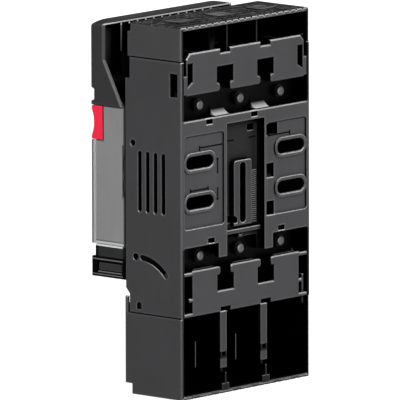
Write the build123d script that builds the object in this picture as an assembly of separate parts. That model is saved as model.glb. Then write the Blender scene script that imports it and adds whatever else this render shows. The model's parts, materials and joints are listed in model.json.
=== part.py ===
from build123d import *
import os
from math import cos, radians, sin

os.makedirs("parts", exist_ok=True)

# Three-pole fuse switch disconnector for a mounting plate, closed.
# Frame: X to the right seen from the front, Y = 0 on the mounting face with the front towards -Y, Z up.
# The origin is the centre of the four mounting slots. A depth counts from the mounting face to the front.

# Poles and side walls
pole_pitch = 33.3
side_wall = 2.2
side_room = 0.85
partition_wall = 1.8
partition_set_back = 0.5
running_gap = 0.3
seat_gap = 0.2
seam_gap = 0.4
guide_gap = 0.4
overcut = 1.0

# Mounting slots
slot_pitch_x = 75.0
slot_pitch_z = 22.0
slot_travel = 15.0
slot_width = 7.0
slot_rim = 2.0
slot_chamfer = 0.5

# Fuse-links with knife blades
blade_thickness = 6.0
blade_width = 15.0
fuse_length = 78.5
blade_reach = 14.25
fuse_body_width = 21.0
fuse_body_height = 38.0
fuse_body_round = 2.5
blade_inset = 2.0
blade_room = 1.0
end_plate = 1.5
end_plate_inset = 0.5
lug_thickness = 2.5
lug_proud = 1.0
lug_reach = 6.5
blade_chamfer = 1.2

# Back plate with its two sunk panels
plate_thickness = 2.8
plate_top = 34.2
plate_bottom = -35.0
plate_chamfer = 0.5
panel_sink = 0.8
panel_slope = 0.6
panel_top_edge = 8.2
panel_bottom_edge = 10.0
panel_outer_edge = 2.6
panel_inner_edge = 2.2
panel_corner = 2.0
clip_hole_width = 5.4
clip_hole_height = 2.7
clip_hole_inset = 0.7
upper_clip_holes = [29.8, -7.1]
lower_clip_holes = [28.5, -29.3]
panel_windows = [(10.0, 19.0, 25.2), (7.0, -4.4, 3.4), (7.0, -24.9, -17.4)]
panel_window_inset = 1.5

# Central channel in the back plate with its slotted boss
channel_width = 31.0
channel_depth = 5.0
channel_top_edge = 4.9
channel_round = 3.0
channel_wall = 2.0
channel_tail_width = 6.8
channel_tail_reach = 1.5
boss_width = 14.6
boss_rise = 2.8
boss_top = 7.6
boss_bottom = -28.0
boss_round = 2.0
boss_slot_width = 4.8
boss_slot_margin = 1.2
arch_hole_middle = 8.0
arch_hole_width = 6.6
arch_hole_height = 4.1
arch_hole_rise = 1.6
floor_hole_middle = -9.4
floor_hole_width = 5.0
floor_hole_height = 3.6
floor_hole_edge = 3.2
foot_recess = (-2.6, 11.6)
foot_recess_depth = 1.2
foot_recess_height = 4.4
foot_hole_middle = 5.2
clip_box_middle = 0.0
clip_box_width = 3.2
clip_box_height = 4.0
clip_box_rise = 1.0
clip_box_hole = 1.4

# Terminal zones, the same above and below the fuse bays
floor_depth = 7.0
floor_thickness = 3.0
floor_set_back = 4.2
floor_end_gap = 2.2
web_wall = 2.2
barrier_wall = 1.5
band_margin = 6.8
terminal_room = 10.7
lower_terminal_room = 17.0
saddle_width = 11.0
saddle_edge = 0.8
strip_length = 8.0
pocket_set_back = 1.0
sill_start = 9.0
sill_height = 9.0
sill_wall = 1.8

# Tongue plates that close the terminal zones at the back
tongue_thickness = 2.2
tongue_side_gap = 2.3
tongue_rise = 4.3
tongue_corner = 3.0
tongue_chamfer = 0.5
tongue_notch_width = 8.0
tongue_notch_depth = 2.4
lobe_gap = 8.1
lobe_window = 13.2
lobe_ear_height = 4.6
lobe_window_height = 8.8
lobe_round = 1.8
tab_set_back = 0.6
tab_height = 10.4
side_slot_width = 4.0
side_slot_inset = 1.2
side_slot_start = 4.8
side_slot_height = 12.7
side_slot_skew = 2.4
foot_window_width = 6.8
foot_strip = 2.0
foot_ledge = 2.6
foot_ledge_rise = 8.0

# Contacts, jaws and their screws
strap_width = 18.0
strap_thickness = 3.0
strap_gap = 2.0
strap_end_gap = 0.5
jaw_gap = 3.0
jaw_length = 8.0
jaw_leaf = 2.0
jaw_clearance = 0.1
jaw_height = 15.5
jaw_lip = 3.0
spring_leaf = 1.0
spring_height = 12.0
spring_foot = 3.0
contact_screw = 5.0
contact_screw_gap = 1.95
contact_screw_end = 3.7
contact_head = 9.2
contact_head_height = 2.6
screw_boss = 6.8
screw_boss_depth = 5.3
thread_clearance = 0.05
terminal_bolt = 8.0
terminal_flats = 13.0
terminal_head_height = 5.3
terminal_bolt_end = 3.6
terminal_hole = 8.4
washer_diameter = 15.0
washer_thickness = 1.6
washer_gap = 0.5
nut_height = 6.0
nut_boss_margin = 2.0

# Arc chutes in front of the upper jaws
arc_plate_count = 3
arc_plate_pitch = 2.5
arc_plate_thickness = 1.0
arc_slot_width = 9.0
arc_tip_room = 3.0
chute_gap = 3.5
chute_side_gap = 0.65
chute_cheek = 1.8
chute_groove = 0.5
chute_roof = 1.5
chute_margin = 1.2
chute_front_margin = 0.6

# Edges of the side walls
apron_start = 7.0
apron_set_back = 3.1
lower_corner_rise = 13.0
lower_corner_slope = 3.0
lower_set_back = 2.7
wall_chamfer = 0.5

# Side wall openings
vent_count = 4
vent_pitch = 5.67
vent_width = 2.6
vent_height = 33.5
vent_middle = -0.75
vent_inset = 10.6
cover_window_depth = 2.6
cover_window_width = 5.4
cover_window_start = -0.4
cover_window_height = 12.8
probe_hole = 3.5
probe_hole_inset = 5.6
probe_hole_height = 20.0

# Lid pivot and its stop slot
pivot_inset = 7.2
trunnion_radius = 2.4
trunnion_clearance = 0.05
bearing_radius = 4.2
bearing_height = 2.4
sight_hole_width = 3.2
sight_hole_height = 3.9
stop_radius = 26.6
stop_angle = 43.0
lid_travel = 42.0
stop_pin_radius = 1.35
stop_slot_clearance = 0.15
park_hole = 3.8
park_angle = 95.0
arm_thickness = 2.1
arm_margin = 2.6
arm_toe = 5.0
arm_shoulder = 10.5
arm_fan_lead = 6.0
arm_fan_extra = 4.0
arm_toe_rise = 1.0
arm_seat = 1.0
pocket_wall = 1.2

# Terminal covers
cover_wall = 1.8
cover_side_inset = 0.2
cover_back = 0.3
cover_chamfer = 0.5
upper_cover_height = 19.3
upper_nose_height = 5.0
upper_nose_set_back = 2.3
lower_cover_height = 45.0
lower_cover_proud = 0.7
lower_cover_lap = 8.8
lower_nose_height = 5.7
lower_nose_set_back = 4.8
cover_partition = 1.6
cover_partition_depth = 3.5
upper_partition_depth = 12.0
fin_place = 11.7
fin_thickness = 1.0
fin_gap = 0.5
fin_reach = 6.0
cover_tongue_thickness = 1.3
cover_tongue_root = 4.0
upper_tongue_length = 17.0
lower_tongue_length = 12.0
rail_width = 5.2
rail_depth = 1.8
rail_length = 31.0
rail_thickness = 2.4
rail_hole = 2.6
rail_hole_drop = 23.6
rib_thickness = 1.0
foot_clip_width = 6.0
foot_clip_height = 3.5
arm_notch = 4.0
breakout_pitch = 5.3
breakout_groove = 1.2
breakout_depth = 0.7
breakout_pad_width = 13.0
breakout_pad_start = 12.5
breakout_pad_length = 12.0
breakout_pad_rise = 0.5

# Lid hood, window and shutters
lid_gap = 0.5
hood_wall = 1.6
hood_step = 19.0
hood_step_room = 1.7
hood_step_rise = 5.6
hood_chamfer = 0.6
bow_length = 26.0
bow_sink = 1.5
bow_middle = 1.0
view_width = 12.0
view_top = 14.0
view_bottom = -30.0
window_rise = 3.0
window_wall = 1.4
window_side_inset = 0.4
window_top_inset = 0.2
shutter_width = 14.0
shutter_thickness = 1.1
shutter_low = -30.0
shutter_high = 8.0
shutter_travel = 6.0
knob_size = 6.0
knob_height = -3.0
probe_opening = 5.0
probe_heights = [4.0, -22.0]
guide_rib = 1.0
guide_end = 15.0

# Release bar in the step of the hood
bar_set_back = 0.5
bar_scoop = 1.6
bar_lip = 2.2
bar_travel = 6.0
rail_end_inset = 13.0
rail_neck = 5.0
rail_head = 9.0
rail_neck_length = 2.4
rail_head_length = 2.0

# Lid frame, the grips that hold the fuse-links in it, and the foot with the hinge arms
frame_wall = 2.0
frame_gap = 0.4
shelf_gap = 3.0
grip_width = 16.0
grip_lip = 1.9
grip_hold = 3.2
grip_bridge = 2.0
skirt_height = 7.0
block_height = 11.0
block_recess = 1.0
block_recess_inset = 2.2
block_ledge_count = 2
block_ledge_pitch = 1.6
block_ledge = 0.7
block_chamfer = 0.5

# Handle
handle_proud = 0.2
handle_height = 46.0
handle_thickness = 9.0
handle_straight_length = 21.0
handle_foot_set_back = 2.0
handle_wall = 2.0
handle_round = 2.0
handle_groove_foot = 3.0
handle_groove_height = 6.5
handle_groove_depth = 2.0
handle_groove_slope = 1.0
handle_chamfer = 0.5
handle_fall = 1.6
handle_fall_length = 11.0
handle_rib_edge = 16.15
handle_rib_count = 12
handle_rib_thickness = 1.2
handle_rib_length = 18.0
handle_rib_inset = 1.0
deep_rib_length = 31.0

# Widths
inner_half = 1.5 * pole_pitch + side_room
half_width = inner_half + side_wall
poles = [-pole_pitch, 0.0, pole_pitch]
partitions = [-pole_pitch / 2, pole_pitch / 2]
tongue_half = inner_half - tongue_side_gap
foot_window_edge = inner_half - foot_window_width
cover_half = half_width - cover_side_inset
cover_inner = cover_half - cover_wall
frame_half = half_width - hood_wall - seat_gap
arm_outer = inner_half - bearing_height - running_gap
arm_inner = arm_outer - arm_thickness
pocket_half = arm_inner - running_gap
chute_half = pole_pitch / 2 - partition_wall / 2 - chute_side_gap
arc_plate_half = chute_half - chute_cheek + chute_groove
rail_half_length = half_width - rail_end_inset

# Depths from the mounting face
floor_front = floor_depth + floor_thickness
strap_front = floor_front + strap_thickness
blade_depth = strap_front + blade_room
fuse_body_depth = blade_depth - blade_inset
fuse_front = fuse_body_depth + fuse_body_height
lug_front = fuse_front + lug_proud
lug_back = lug_front - lug_thickness
arc_stack = (arc_plate_count - 1) * arc_plate_pitch + arc_plate_thickness
chute_back = strap_front + jaw_height + chute_gap
chute_front = chute_back + chute_margin + arc_stack + chute_front_margin
partition_front = chute_front + seat_gap
wall_depth = partition_front + partition_set_back
low_wall_depth = wall_depth - lower_set_back
high_wall_depth = wall_depth - apron_set_back
pivot_depth = low_wall_depth - pivot_inset
cover_tongue_depth = tongue_thickness + guide_gap
cover_tongue_width = floor_depth - tongue_thickness - 2 * guide_gap
upper_cover_depth = high_wall_depth - partition_set_back + running_gap + cover_wall
lower_cover_depth = wall_depth + lower_cover_proud
hood_back = wall_depth + lid_gap
hood_step_depth = lug_front + seat_gap + grip_lip + hood_step_room + hood_wall
hood_front = hood_step_depth + hood_step_rise
window_front = hood_front + window_rise
shutter_back = hood_front + (window_rise - window_wall - shutter_thickness) / 2
bar_back = hood_step_depth + running_gap
bar_front = window_front - bar_set_back
frame_front = hood_front - hood_wall - frame_gap
handle_front = window_front + handle_proud
handle_foot_depth = hood_back + handle_foot_set_back

# Heights from the middle of the mounting slots
fuse_body_length = fuse_length - 2 * blade_reach
fuse_end = fuse_body_length / 2 + end_plate
strap_start = fuse_end + strap_gap
jaw_start = fuse_end + jaw_gap
contact_screw_height = fuse_length / 2 + contact_screw_gap
band_end = contact_screw_height + band_margin
terminal_bolt_height = band_end + washer_diameter / 2 + washer_gap
base_top = terminal_bolt_height + terminal_room
base_bottom = -terminal_bolt_height - lower_terminal_room
floor_start = plate_top - floor_set_back
floor_end = base_top - floor_end_gap
strap_end = floor_end - strap_end_gap
channel_top = plate_top - channel_top_edge
panel_top = plate_top - panel_top_edge
panel_bottom = plate_bottom + panel_bottom_edge
apron_foot = band_end + apron_start
lower_corner_top = base_bottom + lower_corner_rise
pivot_height = base_bottom + bearing_radius
sill_top = -band_end - sill_start
frame_top = fuse_end + lug_reach + shelf_gap + frame_wall
hood_top = frame_top - seat_gap
hood_bottom = -frame_top
foot_top = hood_bottom - seat_gap
block_top = hood_bottom - skirt_height
block_bottom = block_top - block_height
bar_low = hood_step + running_gap
bar_high = frame_top - running_gap
handle_top = frame_top + handle_height
upper_cover_foot = base_top + seam_gap
upper_cover_top = base_top + upper_cover_height
lower_cover_head = base_bottom - seam_gap
lower_cover_bottom = base_bottom - lower_cover_height


def block(x, y, z):
    """Box between a low and a high value on each axis."""
    middle = [(low + high) / 2 for low, high in (x, y, z)]
    size = [high - low for low, high in (x, y, z)]
    return Pos(*middle) * Box(*size)


def depth_block(x, depth, z):
    """Box with its Y range given as two depths."""
    return block(x, (-depth[1], -depth[0]), z)


def outline(*points):
    """Flat face inside a closed run of straight lines."""
    return make_face(Polyline(*points, close=True))


def rectangle(first, second):
    """Flat rectangle between a low and a high value on each drawing axis."""
    width = first[1] - first[0]
    height = second[1] - second[0]
    return Pos(first[0] + width / 2, second[0] + height / 2) * Rectangle(width, height)


def back_prism(face, depth_low, depth_high):
    """Face drawn in X-Z, filled between two depths."""
    return extrude(Plane.XZ.offset(depth_low) * face, depth_high - depth_low)


def side_prism(face, x_low, x_high):
    """Face drawn in Y-Z, filled between two X values."""
    return extrude(Plane.YZ.offset(x_low) * face, x_high - x_low)


def level_prism(face, z_low, z_high):
    """Face drawn in X-Y, filled between two heights."""
    return extrude(Plane.XY.offset(z_low) * face, z_high - z_low)


def both_sides(part):
    return [part, mirror(part, Plane.YZ)]


def both_ends(part):
    return [part, mirror(part, Plane.XY)]


def round_corners(face, points, radius):
    """Round the corners of a flat face that lie nearest to the given points."""
    corners = [face.vertices().sort_by_distance(Vector(*point, 0))[0] for point in points]
    return fillet(corners, radius)


def arch(middle, width, low, high, rise):
    """Flat face with straight sides and a shallow domed top."""
    left = middle - width / 2
    right = middle + width / 2
    spring = high - rise
    sides = Polyline((left, spring), (left, low), (right, low), (right, spring))
    dome = ThreePointArc((right, spring), (middle, high), (left, spring))
    return make_face(sides + dome)


def soften_ends(part, size):
    """Chamfer the edges round the two end faces of a part that lies along X."""
    ends = part.faces().sort_by(Axis.X)
    return chamfer(ends[0].edges() + ends[-1].edges(), size)


def sloped_cutter(face, depth, slope):
    """Cutter from the back whose walls slope inwards over the last bit of its depth."""
    cutter = back_prism(face, -overcut, depth)
    return chamfer(cutter.edges().group_by(Axis.Y)[0], slope)


def turned(x, z, *profile):
    """Turned solid about a line along Y; each profile point is a radius and a depth."""
    face = outline(*[(radius, -depth) for radius, depth in profile])
    return Pos(x, 0, z) * revolve(face, Axis.Y)


def cross_pin(radius, depth, height, x_low, x_high):
    """Round pin along X."""
    return side_prism(Pos(-depth, height) * Circle(radius), x_low, x_high)


def pivot_point(radius, angle):
    """Point in Y-Z at a radius and an angle, from +Y towards +Z, about the lid pivot."""
    y = -pivot_depth + radius * cos(radians(angle))
    z = pivot_height + radius * sin(radians(angle))
    return y, z


def mounting_slots(extra):
    """The four mounting slots in X-Z, each grown by extra all round."""
    slot = SlotCenterToCenter(slot_travel, slot_width + 2 * extra)
    places = [
        Pos(sx * slot_pitch_x / 2, sz * slot_pitch_z / 2)
        for sx in (-1, 1)
        for sz in (-1, 1)
    ]
    return Sketch() + [place * slot for place in places]


def front_outline(front, low_front, high_front, back):
    """Wall in Y-Z between the two seams, set back behind both covers."""
    return outline(
        (-back, base_bottom),
        (-back, base_top),
        (-high_front, base_top),
        (-high_front, apron_foot),
        (-front, apron_foot),
        (-front, lower_corner_top),
        (-low_front, lower_corner_top - lower_corner_slope),
        (-low_front, base_bottom),
    )


def side_wall_face():
    """Side wall in Y-Z with vents, cover window, test hole, stop slot and sight hole."""
    face = front_outline(wall_depth, low_wall_depth, high_wall_depth, 0)
    for i in range(vent_count):
        place = Pos(vent_inset + i * vent_pitch - wall_depth, vent_middle)
        face -= place * SlotOverall(vent_height, vent_width, rotation=90)
    window_low = band_end + cover_window_start
    face -= rectangle(
        (-cover_window_depth - cover_window_width, -cover_window_depth),
        (window_low, window_low + cover_window_height),
    )
    face -= Pos(probe_hole_inset - wall_depth, probe_hole_height) * Circle(probe_hole / 2)
    face -= Pos(*pivot_point(stop_radius, park_angle)) * Circle(park_hole / 2)
    stop_arc = CenterArc((-pivot_depth, pivot_height), stop_radius, stop_angle, lid_travel)
    face -= SlotArc(stop_arc, height=2 * (stop_pin_radius + stop_slot_clearance))
    arch_rise = sight_hole_width / 2
    sight_low = pivot_height - sight_hole_height / 2
    sight_high = sight_low + sight_hole_height
    return face - arch(-pivot_depth, sight_hole_width, sight_low, sight_high, arch_rise)


def side_walls():
    """Both side walls with the blind bearings of the lid's trunnions inside."""
    wall = side_prism(side_wall_face(), inner_half, half_width)
    wall = chamfer(wall.faces().sort_by(Axis.X)[-1].outer_wire().edges(), wall_chamfer)
    ring = Circle(bearing_radius) - Circle(trunnion_radius + trunnion_clearance)
    bearing = side_prism(
        Pos(-pivot_depth, pivot_height) * ring, inner_half - bearing_height, inner_half
    )
    return both_sides(wall + bearing)


def panel_face(side):
    """Sunk panel in X-Z on one side of the channel, around the rims of its two slots."""
    low = channel_width / 2 + panel_inner_edge
    high = half_width - panel_outer_edge
    panel = RectangleRounded(high - low, panel_top - panel_bottom, panel_corner)
    panel = Pos(side * (low + high) / 2, (panel_top + panel_bottom) / 2) * panel
    return panel - mounting_slots(slot_rim)


def channel_hollow():
    """The open channel down the middle of the back, with hollow-rounded inner corners."""
    hollow = depth_block(
        (-channel_width / 2, channel_width / 2),
        (-overcut, channel_depth),
        (plate_bottom - strip_length - overcut, channel_top),
    )
    inner_edges = hollow.edges().filter_by(Axis.Z).group_by(Axis.Y)[0]
    return fillet(inner_edges, channel_round)


def channel_tails():
    """Two strips of the plate that carry the channel's walls on into the lower band."""
    inner = channel_width / 2 - channel_tail_reach
    outer = channel_width / 2 + channel_tail_width
    heights = (plate_bottom - strip_length, plate_bottom)
    tail = depth_block((inner, outer), (0, plate_thickness), heights)
    wall = (inner, channel_width / 2 + channel_wall)
    tail += depth_block(wall, (0, channel_depth + plate_thickness), heights)
    return both_sides(tail)


def channel_boss():
    """Raised boss on the channel floor, rounded at its top corners."""
    face = rectangle((-boss_width / 2, boss_width / 2), (boss_bottom, boss_top))
    corners = [(-boss_width / 2, boss_top), (boss_width / 2, boss_top)]
    face = round_corners(face, corners, boss_round)
    return back_prism(face, channel_depth - boss_rise, channel_depth)


def clip_hole(x, low, depth):
    """Small rectangular hole in the back plate down to a depth."""
    half = clip_hole_width / 2
    return depth_block((x - half, x + half), (-overcut, depth), (low, low + clip_hole_height))


def channel_openings():
    """Holes in the channel floor and the slot down the middle of its boss."""
    through = channel_depth + plate_thickness + overcut
    slot_low = boss_bottom + boss_slot_margin
    slot_high = boss_top - boss_slot_margin
    slot = SlotOverall(slot_high - slot_low, boss_slot_width, rotation=90)
    hole_top = channel_top - floor_hole_edge
    half = floor_hole_width / 2
    arch_low = boss_bottom + arch_hole_rise
    dome = arch(arch_hole_middle, arch_hole_width, arch_low, arch_low + arch_hole_height, arch_hole_rise)
    return [
        back_prism(Pos(0, (slot_low + slot_high) / 2) * slot, 0, through),
        depth_block(
            (floor_hole_middle - half, floor_hole_middle + half),
            (0, through),
            (hole_top - floor_hole_height, hole_top),
        ),
        back_prism(dome, 0, through),
        depth_block(
            foot_recess,
            (0, channel_depth + foot_recess_depth),
            (plate_bottom - overcut, plate_bottom + foot_recess_height),
        ),
    ]


def clip_box():
    """Small open box at the foot of the channel."""
    half = clip_box_width / 2
    hole = clip_box_hole / 2
    middle = plate_bottom + clip_box_height / 2
    box = depth_block(
        (clip_box_middle - half, clip_box_middle + half),
        (channel_depth - clip_box_rise, channel_depth + plate_thickness),
        (plate_bottom, plate_bottom + clip_box_height),
    )
    return box - depth_block(
        (clip_box_middle - hole, clip_box_middle + hole),
        (0, channel_depth + foot_recess_depth),
        (middle - hole, middle + hole),
    )


def back_plate():
    """Plate on the mounting face between the two terminal bands."""
    channel_half = channel_width / 2
    trough_half = channel_half + channel_wall
    plate = depth_block((-inner_half, inner_half), (0, plate_thickness), (plate_bottom, plate_top))
    top_edge = plate.edges().filter_by(Axis.X).group_by(Axis.Z)[-1].sort_by(Axis.Y)[-1]
    plate = chamfer(top_edge, plate_chamfer)
    plate += depth_block(
        (-trough_half, trough_half),
        (0, channel_depth + plate_thickness),
        (plate_bottom, channel_top + channel_wall),
    )
    plate += channel_tails()
    plate -= channel_hollow()
    plate += channel_boss()
    plate -= channel_openings()
    plate += clip_box()
    behind = plate_thickness + overcut
    cuts = [sloped_cutter(panel_face(side), panel_sink, panel_slope) for side in (-1, 1)]
    cuts.append(back_prism(mounting_slots(0), -overcut, behind))
    cuts.append(sloped_cutter(mounting_slots(slot_chamfer), slot_chamfer, slot_chamfer))
    edge = channel_half + panel_window_inset
    for width, low, high in panel_windows:
        cuts.append(depth_block((-edge - width, -edge), (-overcut, behind), (low, high)))
    top_row = plate_top - clip_hole_inset - clip_hole_height
    low_row = plate_bottom + clip_hole_inset
    cuts += [clip_hole(x, top_row, behind) for x in upper_clip_holes]
    cuts += [clip_hole(x, low_row, behind) for x in lower_clip_holes]
    cuts.append(clip_hole(foot_hole_middle, low_row, floor_depth + overcut))
    return plate - cuts


def lobe_gaps(face, sign):
    """Cut the necks and windows between the lobes of a tongue plate and round the ears."""
    neck_end = band_end + lobe_ear_height
    window_end = neck_end + lobe_window_height
    for x in partitions:
        neck = (x - lobe_gap / 2, x + lobe_gap / 2)
        window = (x - lobe_window / 2, x + lobe_window / 2)
        face -= rectangle(neck, sorted((sign * (band_end - overcut), sign * neck_end)))
        face -= rectangle(window, sorted((sign * neck_end, sign * window_end)))
        ears = [(edge, sign * height) for edge in neck for height in (band_end, neck_end)]
        face = round_corners(face, ears, lobe_round)
    return face


def edge_notches(edge, inward):
    """Notches in the outer edge of a tongue plate, one at each partition."""
    heights = sorted((edge - inward, edge + inward * tongue_notch_depth))
    half = tongue_notch_width / 2
    return [rectangle((x - half, x + half), heights) for x in partitions]


def upper_tongue_face():
    """Upper tongue plate in X-Z, rising past the seam between two side tabs."""
    half = tongue_half
    top = base_top + tongue_rise
    face = outline(
        (-half, band_end),
        (half, band_end),
        (half, top - tongue_corner),
        (half - tongue_corner, top),
        (-half + tongue_corner, top),
        (-half, top - tongue_corner),
    )
    tab_low = band_end + tab_set_back
    face += rectangle((-inner_half, inner_half), (tab_low, tab_low + tab_height))
    face -= edge_notches(top, -1)
    outer = half - side_slot_inset
    inner = outer - side_slot_width
    slot_low = band_end + side_slot_start
    slot_high = slot_low + side_slot_height
    for side in (-1, 1):
        face -= outline(
            (side * outer, slot_low),
            (side * outer, slot_high),
            (side * inner, slot_high),
            (side * inner, slot_low + side_slot_skew),
        )
    return lobe_gaps(face, 1)


def lower_tongue_face():
    """Lower tongue plate in X-Z, between two side windows with a ledge in each."""
    face = rectangle((-foot_window_edge, foot_window_edge), (base_bottom, -band_end))
    upper_strip = -band_end - tab_set_back - foot_strip
    for low in (upper_strip, base_bottom):
        face += rectangle((-inner_half, inner_half), (low, low + foot_strip))
    ledge = foot_window_edge + foot_ledge
    ledge_low = base_bottom + foot_ledge_rise
    face += rectangle((-ledge, ledge), (ledge_low, ledge_low + foot_strip))
    face -= edge_notches(base_bottom, 1)
    return lobe_gaps(face, -1)


def tongue_plate(face):
    """Tongue plate on the mounting face with chamfered edges towards the back."""
    plate = back_prism(face, 0, tongue_thickness)
    return chamfer(plate.edges().group_by(Axis.Y)[-1], tongue_chamfer)


def nut_boss(x):
    """Boss behind a terminal that holds the nut, open to the front."""
    half = terminal_flats / 2 + nut_boss_margin
    return depth_block(
        (x - half, x + half),
        (tongue_thickness, floor_depth),
        (terminal_bolt_height - half, terminal_bolt_height + half),
    )


def hexagon(x, z, flats):
    return Pos(x, z) * RegularPolygon(flats / 2, 6, major_radius=False)


def terminal_holes(x):
    """Nut pocket, bolt end room and contact screw hole of one terminal."""
    pocket = back_prism(
        hexagon(x, terminal_bolt_height, terminal_flats + 2 * thread_clearance),
        floor_front - nut_height,
        floor_front + overcut,
    )
    bolt_room = back_prism(
        Pos(x, terminal_bolt_height) * Circle(terminal_hole / 2),
        terminal_bolt_end - seat_gap,
        floor_front,
    )
    screw_hole = back_prism(
        Pos(x, contact_screw_height) * Circle(contact_screw / 2 + thread_clearance),
        0,
        floor_front + overcut,
    )
    return [pocket, bolt_room, screw_hole]


def terminal_zone(half):
    """Upper terminal zone: floor, web to the back plate, barrier, bosses and saddles."""
    zone = depth_block((-half, half), (floor_depth, floor_front), (floor_start, floor_end))
    zone += depth_block(
        (-inner_half, inner_half),
        (plate_thickness, floor_front),
        (floor_start, floor_start + web_wall),
    )
    zone += depth_block(
        (-half, half),
        (strap_front + running_gap, partition_front),
        (band_end - barrier_wall, band_end),
    )
    for x in poles:
        zone += nut_boss(x)
        zone += back_prism(
            Pos(x, contact_screw_height) * Circle(screw_boss / 2), screw_boss_depth, floor_depth
        )
    for x in poles:
        zone -= terminal_holes(x)
    return zone


def saddles():
    """Hollow-rounded ramps from the back plate into the upper band, at the partitions."""
    radius = floor_depth - saddle_edge
    face = rectangle((-floor_depth, -saddle_edge), (plate_top - overcut, plate_top + radius))
    face -= Pos(-saddle_edge, plate_top + radius) * Circle(radius)
    half = saddle_width / 2
    return [side_prism(face, x - half, x + half) for x in partitions]


def base_housing():
    """One moulding: side walls, partitions, back plate, terminal floors and tongue plates."""
    low_front = low_wall_depth - partition_set_back
    wall_face = front_outline(
        partition_front, low_front, high_wall_depth - partition_set_back, floor_depth
    )
    half_partition = partition_wall / 2
    body = Part() + side_walls()
    body += back_plate()
    for x in partitions:
        body += side_prism(wall_face, x - half_partition, x + half_partition)
        body += depth_block(
            (x - half_partition, x + half_partition),
            (plate_thickness, floor_depth),
            (plate_bottom, plate_top),
        )
    body += terminal_zone(inner_half)
    body += mirror(terminal_zone(pocket_half), Plane.XY)
    body += saddles()
    pocket_top = plate_bottom - pocket_set_back
    pocket_face = wall_face & rectangle((-wall_depth, 0), (base_bottom, pocket_top))
    body += both_sides(side_prism(pocket_face, pocket_half - pocket_wall, pocket_half))
    body += depth_block(
        (-pocket_half, pocket_half),
        (low_front - sill_wall, low_front),
        (sill_top - sill_height, sill_top),
    )
    body += tongue_plate(upper_tongue_face())
    body += tongue_plate(lower_tongue_face())
    return body


def contact(x):
    """Copper contact of the upper row: strap with two jaw leaves that flare at their tips."""
    half = strap_width / 2
    strap = depth_block((x - half, x + half), (floor_front, strap_front), (strap_start, strap_end))
    gap = blade_thickness / 2 + jaw_clearance
    bend = strap_front + jaw_height - jaw_lip
    tip = strap_front + jaw_height
    for side in (-1, 1):
        leaf = outline(
            (x + side * gap, -strap_front),
            (x + side * gap, -bend),
            (x + side * (gap + jaw_lip), -tip),
            (x + side * (gap + jaw_lip + jaw_leaf), -tip),
            (x + side * (gap + jaw_leaf), -bend),
            (x + side * (gap + jaw_leaf), -strap_front),
        )
        strap += level_prism(leaf, jaw_start, jaw_start + jaw_length)
    strap -= contact_screw_solid(x, thread_clearance)
    bolt_hole = Pos(x, terminal_bolt_height) * Circle(terminal_hole / 2)
    return strap - back_prism(bolt_hole, floor_front - overcut, strap_front + overcut)


def jaw_springs(x):
    """Pair of steel leaf springs that press the jaw leaves together from outside."""
    inner = blade_thickness / 2 + jaw_clearance + jaw_leaf
    springs = []
    for side in (-1, 1):
        profile = outline(
            (x + side * inner, -strap_front),
            (x + side * (inner + spring_foot), -strap_front),
            (x + side * (inner + spring_foot), -strap_front - spring_leaf),
            (x + side * (inner + spring_leaf), -strap_front - spring_leaf),
            (x + side * (inner + spring_leaf), -strap_front - spring_height),
            (x + side * inner, -strap_front - spring_height),
        )
        springs.append(level_prism(profile, jaw_start, jaw_start + jaw_length))
    return springs


def contact_screw_solid(x, extra):
    """Countersunk screw through a contact strap into its boss, grown by extra."""
    head = contact_head / 2 + extra
    shank = contact_screw / 2 + extra
    return turned(
        x,
        contact_screw_height,
        (0, strap_front),
        (head, strap_front),
        (shank, strap_front - contact_head_height),
        (shank, contact_screw_end),
        (0, contact_screw_end),
    )


def terminal_bolt_solid(x):
    """Hexagon terminal bolt with its head towards the front."""
    seat = strap_front + washer_thickness
    head = back_prism(
        hexagon(x, terminal_bolt_height, terminal_flats), seat, seat + terminal_head_height
    )
    shank = back_prism(
        Pos(x, terminal_bolt_height) * Circle(terminal_bolt / 2), terminal_bolt_end, seat
    )
    return head + shank


def washer(x):
    ring = Circle(washer_diameter / 2) - Circle(terminal_hole / 2)
    return back_prism(
        Pos(x, terminal_bolt_height) * ring, strap_front, strap_front + washer_thickness
    )


def terminal_nut(x):
    face = hexagon(x, terminal_bolt_height, terminal_flats)
    face -= Pos(x, terminal_bolt_height) * Circle(terminal_bolt / 2 + thread_clearance)
    return back_prism(face, floor_front - nut_height, floor_front)


def arc_plate_depths():
    first = chute_back + chute_margin
    return [first + i * arc_plate_pitch for i in range(arc_plate_count)]


def arc_chute(x):
    """Insulating holder under the upper barrier: a roof and two grooved cheeks."""
    inner = chute_half - chute_cheek
    top = band_end - barrier_wall
    holder = depth_block((x - chute_half, x + chute_half), (chute_back, chute_front), (jaw_start, top))
    holder -= depth_block((x - inner, x + inner), (0, wall_depth), (0, top - chute_roof))
    half = arc_plate_half + thread_clearance
    for depth in arc_plate_depths():
        holder -= depth_block(
            (x - half, x + half),
            (depth - thread_clearance, depth + arc_plate_thickness + thread_clearance),
            (0, top - chute_roof),
        )
    return holder


def arc_plates(x):
    """Steel splitter plates, slotted for the blade on its way out of the jaw."""
    half = arc_plate_half
    slot = arc_slot_width / 2
    face = rectangle((x - half, x + half), (jaw_start, band_end - barrier_wall - chute_roof))
    slot_top = fuse_length / 2 + arc_tip_room - slot
    face -= rectangle((x - slot, x + slot), (jaw_start - overcut, slot_top))
    face -= Pos(x, slot_top) * Circle(slot)
    return [back_prism(face, depth, depth + arc_plate_thickness) for depth in arc_plate_depths()]


def fuse_body(x):
    """Ceramic body of a fuse-link."""
    half = fuse_body_width / 2
    length = fuse_body_length / 2
    body = depth_block((x - half, x + half), (fuse_body_depth, fuse_front), (-length, length))
    return fillet(body.edges().filter_by(Axis.Z), fuse_body_round)


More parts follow.
